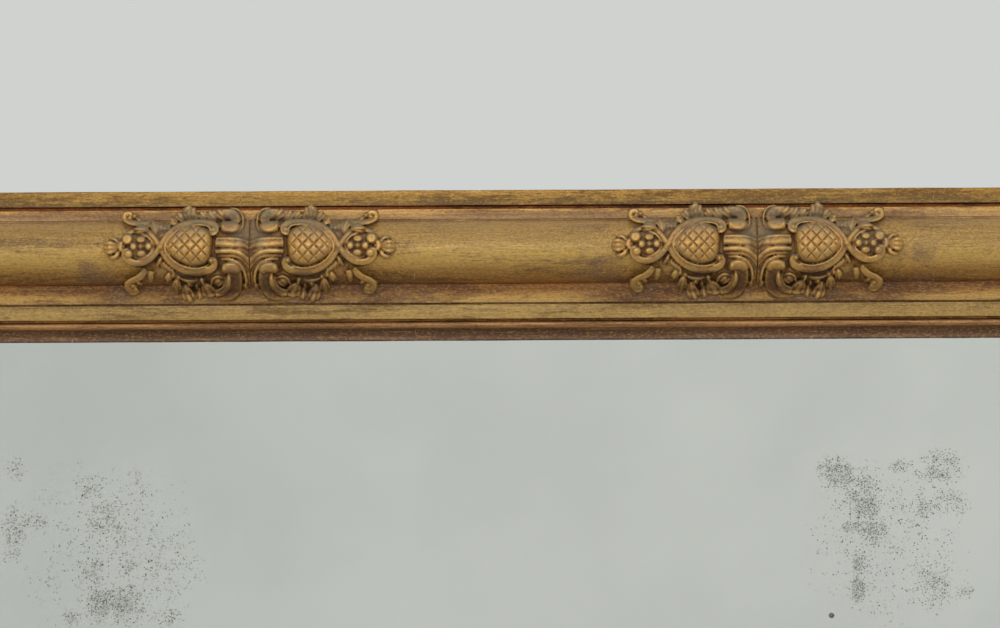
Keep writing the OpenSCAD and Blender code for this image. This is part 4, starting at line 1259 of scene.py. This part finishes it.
# The slip table paints light and shade too: the bead's lower half is painted lighter against its shade,
# the cove is painted dark where it turns down and lighter where it turns up, and the stops from 118.7
# to 119.65 paint the shadow line along the sight edge.
SLIP_TONES_AND_PAINTED_LIGHT = [
    (104.2, (160, 106, 54), (116, 78, 42), 0.5), (105, (176, 128, 78), (134, 94, 60), 0.45),
    (107.3, (176, 129, 79), (134, 95, 61), 0.5), (109.1, (200, 146, 94), (160, 112, 70), 0.5),
    (110.1, (118, 76, 48), (92, 59, 41), 0.5), (111, (98, 63, 43), (81, 54, 39), 0.55),
    (115, (107, 74, 51), (91, 63, 47), 0.55), (117, (130, 94, 71), (113, 83, 65), 0.5),
    (118.2, (134, 101, 81), (115, 88, 71), 0.5), (118.7, (74, 58, 46), (60, 46, 38), 0.5),
    (119.3, (56, 46, 38), (46, 38, 32), 0.5), (119.65, (96, 74, 52), (78, 60, 44), 0.5),
    (119.8, (140, 108, 74), (112, 86, 60), 0.5),
]

HAND_PLANED = clouds("hand_planed", 0.045)
CAST_SKIN = clouds("cast_skin", 0.0022)
SAWN = clouds("sawn", 0.02)
COMPOSITION = composition_finish()


# ---------- fixings, hangers and back ----------

def spots(node):
    """Where each fixing of a CAD node stands: the middle of its head, its head's radius and its length."""
    copy = copied(frame["nodes"][node], node + "_copy")
    copy.parent = None
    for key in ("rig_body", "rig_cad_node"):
        if key in copy:
            del copy[key]
    edit(copy)
    bpy.ops.mesh.remove_doubles(threshold=MERGE)
    bpy.ops.mesh.separate(type="LOOSE")
    leave()
    found = []
    for part in list(bpy.context.selected_objects):
        points = points_of(part)
        low, high = points.min(0), points.max(0)
        middle = (low + high) / 2
        found.append((Vector((middle[0], high[1], middle[2])), (high[0] - low[0]) / 2, high[1] - low[1]))
        bpy.data.objects.remove(part)
    return sorted(found, key=lambda spot: tuple(spot[0]))


def forward_pin(vertices, radius, tip, start, length):
    """A round length of metal that points forward, from its start behind to its tip."""
    bpy.ops.mesh.primitive_cone_add(vertices=vertices, radius1=radius, radius2=tip, depth=length,
                                    location=(0, -start - length / 2, 0), rotation=(math.radians(90), 0, 0))
    settle()
    return bpy.context.object


def slotted_screw(head, shank, length):
    """A countersunk wood screw that points forward, its slot filed across a slightly worn head."""
    neck = head - shank
    piece = forward_pin(40, head, shank, 0, neck)
    half_slot = head * 0.12
    edit(piece)
    for z in (-half_slot, half_slot):
        bpy.ops.mesh.select_all(action="SELECT")
        bpy.ops.mesh.bisect(plane_co=(0, 0, z), plane_no=(0, 0, 1))
    leave()
    edit(piece, "FACE", lambda face: face.normal.y > 0.9 and abs(face.center.z) < half_slot)
    bpy.ops.mesh.extrude_region_move(TRANSFORM_OT_translate={"value": (0, -neck * 0.5, 0)})
    leave()
    ease_edges(piece, 0.16, 35)
    return joined("screw", [forward_pin(20, shank, shank, neck, length - neck), piece])


def wrought_nail(head, shank, length):
    """A nail with a flat hammered head, on the board, and its shank."""
    thick = head * 0.36
    piece = forward_pin(14, head, head, 0, thick)
    edit(piece, "FACE", lambda face: face.normal.y > 0.9)
    bpy.ops.transform.resize(value=(0.72, 1, 0.8))
    leave()
    ease_edges(piece, 0.14, 35)
    return joined("nail", [forward_pin(10, shank, shank, thick, length - thick), piece])


def set_fixings(name, node, maker, shank_share, material):
    """Models one screw or nail and sets a copy wherever the CAD node has one, each turned its own way."""
    places = spots(node)
    _, head, length = places[0]
    master = maker(head, head * shank_share, length)
    fixings = []
    for number, (place, _, length_here) in enumerate(places):
        turn = Matrix.Rotation(random.uniform(0, math.pi), 4, "Y")
        stretch = Matrix.Diagonal((1, length_here / length, 1, 1))
        fixings.append(stood(copied(master, f"{name}_{number}"), Matrix.Translation(place) @ turn @ stretch))
    bpy.data.objects.remove(master)
    piece = joined(name, fixings)
    smooth_below(35)
    take_over(piece, node, material)


def backboard(name, node, material):
    """A thin sawn board with its arrises eased and its faces a little uneven."""
    low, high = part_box(node)
    piece = block(name, (low + high) / 2, high - low)
    edit(piece)
    bpy.ops.mesh.subdivide(number_cuts=BOARD_CUTS)
    leave()
    ease_edges(piece, 0.9, 40)
    roughen(piece, SAWN, "LOCAL", 0.5, 1.0)
    smooth_below(32)
    take_over(piece, node, material)


def hanging_ring(name, node, body, material):
    """A half round of drawn brass wire on its straight bar."""
    low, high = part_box(node)
    wire = (high.y - low.y) / 2
    reach = (high.x - low.x) / 2 - wire
    pivot = Vector(((low.x + high.x) / 2, (low.y + high.y) / 2, high.z - wire))
    ends = [pivot + Vector((x, 0, 0)) for x in (-reach, reach)]
    bar = [ends[0], pivot, ends[1]]
    turns = [math.radians(180 + 180 * i / 16) for i in range(17)]
    bow = [pivot + Vector((math.cos(turn), 0, math.sin(turn))) * reach for turn in turns]
    wires = [bent(route, [1] * len(route), resolution_u=6, bevel_resolution=6, bevel_depth=wire)
             for route in (bar, bow)]
    for end in ends:
        bpy.ops.mesh.primitive_uv_sphere_add(segments=20, ring_count=12, radius=wire, location=end)
        wires.append(bpy.context.object)
    piece = joined(name, wires)
    settle()
    smooth_below(50)
    take_over(piece, node, material, body)


def sheet(name, levels, ease, node, material):
    """A flat sheet behind the sight edge, from one level to another, with its edges eased."""
    back, front = levels
    size = (WIDTH - 2 * PLATE_INSET * MM, (front - back) * MM, HEIGHT - 2 * PLATE_INSET * MM)
    piece = block(name, (0, WALL - (back + front) / 2 * MM, HEIGHT / 2), size)
    edit(piece, "EDGE")
    bpy.ops.mesh.bevel(offset=ease * MM, segments=2, affect="EDGES")
    leave()
    bpy.ops.object.shade_flat()
    take_over(piece, node, material)


def make_plate():
    """The plate and its silver, with a hair's breadth left between them so that light can tell them apart."""
    sheet("plate", PLATE_LEVELS, 0.5, "mirror_plate", plate_finish())
    sheet("silver", SILVER_LEVELS, 0.02, "silvering", silver_finish())


def make_back():
    """Models the fixings, boards and rings. The other timbers and the straps keep their CAD shape."""
    random.seed(SEED)
    pale, brown = linear(188, 152, 108), linear(146, 106, 66)
    finishes = {}
    for number, name in enumerate(("rail_top", "rail_bottom", "stile_left", "stile_right")):
        along = "X" if "rail" in name else "Z"
        shift = (0.37 * number, 0.11 * number, 0.23 * number)
        finishes[f"back_{name}"] = timber_finish(f"pine_back_{name}", pale, brown, along, shift)
    finishes["plate_blocks"] = timber_finish("pine_blocks", pale, brown, "X", (0.5, 0.2, 0.1))
    beech, heart_beech = linear(164, 122, 84), linear(120, 82, 52)
    finishes["mitre_key"] = timber_finish("beech_key", beech, heart_beech, "X", (0.2, 0, 0.4))
    brass = metal_finish("dull_brass", linear(176, 148, 92), linear(112, 90, 58), 0.38, 0.9)
    iron = metal_finish("dark_iron", linear(104, 98, 94), linear(92, 58, 40), 0.5, 0.8)
    finishes["hanger_strap"] = brass
    for name, node in frame["nodes"].items():
        for key, finish in finishes.items():
            if name.startswith(key):
                node.data.materials.clear()
                node.data.materials.append(finish)
    boards = [name for name in frame["nodes"] if name.startswith("backboard_") and name != "backboard_nails"]
    for number, node in enumerate(sorted(boards)):
        dim = 1 - 0.07 * (number % 3)
        tone, dark = linear(152 * dim, 116 * dim, 80 * dim), linear(108 * dim, 76 * dim, 49 * dim)
        sawn = timber_finish(f"sawn_board_{number + 1}", tone, dark, "X", (0.41 * number, 0.3, 0.17 * number))
        backboard(f"sawn_{node}", node, sawn)
    for node in ("frame_screws", "lap_screws", "hanger_screws"):
        set_fixings(f"slotted_{node}", node, slotted_screw, 0.5, iron)
    set_fixings("wrought_nails", "backboard_nails", wrought_nail, 0.41, iron)
    for side in ("left", "right"):
        hanging_ring(f"brass_ring_{side}", f"hanger_ring_{side}", f"{side}_ring", brass)


# ---------- the room ----------

# The photograph's view: the face of the sight edge, the camera's place aside, its height, its distance from
# that face, its lens and its slight roll in degrees.
SIGHT_FACE = 0.048
CAMERA_ASIDE = -0.003
CAMERA_HEIGHT = 0.8016
CAMERA_AWAY = 3.0
CAMERA_LENS = 136.0
CAMERA_ROLL = 0.30

BACKGROUND = linear(207, 210, 207)
FLOOR_LEVEL = -0.0005


def make_camera():
    place = (CAMERA_ASIDE, WALL - SIGHT_FACE - CAMERA_AWAY, CAMERA_HEIGHT)
    bpy.ops.object.camera_add(location=place, rotation=(math.radians(90), 0, 0))
    camera = bpy.context.object
    camera.rotation_euler.rotate_axis("Z", math.radians(-CAMERA_ROLL))
    camera.data.lens = CAMERA_LENS
    camera.data.sensor_width = 36
    bpy.context.scene.camera = camera


def floor_finish():
    """A pale floor that goes over into the background further out."""
    pale = Finish("pale_floor", roughness=0.8)
    place = pale.object_place()
    cloudy = pale.span(pale.noise(place, 3, 3.0), 0.3, 0.7)
    far = pale.times(pale.seen(), pale.span(pale.length(place), 1.1, 3.4))
    glow = pale.node("ShaderNodeEmission", {"Color": BACKGROUND, "Strength": 1.0})
    pale.surface(far, pale.shader, glow, "Material Output")
    return pale.done(pale.mixed(cloudy, linear(224, 225, 222), linear(227, 228, 225)))


def softbox(name, place, aim, size, power):
    bpy.ops.object.light_add(type="AREA", location=place)
    lamp = bpy.context.object
    lamp.name = name
    lamp.data.shape = "SQUARE"
    lamp.data.size = size
    lamp.data.energy = power
    lamp.rotation_euler = (Vector(aim) - Vector(place)).to_track_quat("-Z", "Y").to_euler()


def make_room():
    """Soft even light, a plain background, which the mirror shows too, a pale floor and three softboxes."""
    world = bpy.data.worlds.new("studio")
    bpy.context.scene.world = world
    world.use_nodes = True
    sky = Tree(world.node_tree)
    light = world.node_tree.nodes["Background"]
    light.inputs["Color"].default_value = (0.96, 0.98, 1.0, 1)
    light.inputs["Strength"].default_value = 0.42
    plain = sky.node("ShaderNodeBackground", {"Color": BACKGROUND, "Strength": 1.0})
    sky.surface(sky.seen(), light, plain, "World Output")

    bpy.ops.mesh.primitive_plane_add(size=16, location=(0, 0, FLOOR_LEVEL))
    floor = named("floor")
    floor.data.materials.append(floor_finish())

    softbox("softbox_above", (0.2, -1.9, 3.0), (0, 0, 0.62), 2.2, 20)
    softbox("softbox_front", (-0.3, -4.2, 1.75), (0, 0, 0.7), 1.2, 44)
    softbox("softbox_back", (0.6, 2.2, 2.2), (0, 0, 0.5), 1.8, 26)


def make_mirror():
    bpy.ops.object.select_all(action="DESELECT")
    make_mouldings()
    make_ornaments()
    make_plate()
    make_back()
    make_room()
    make_camera()
    bpy.context.scene.view_settings.view_transform = "Standard"


make_mirror()
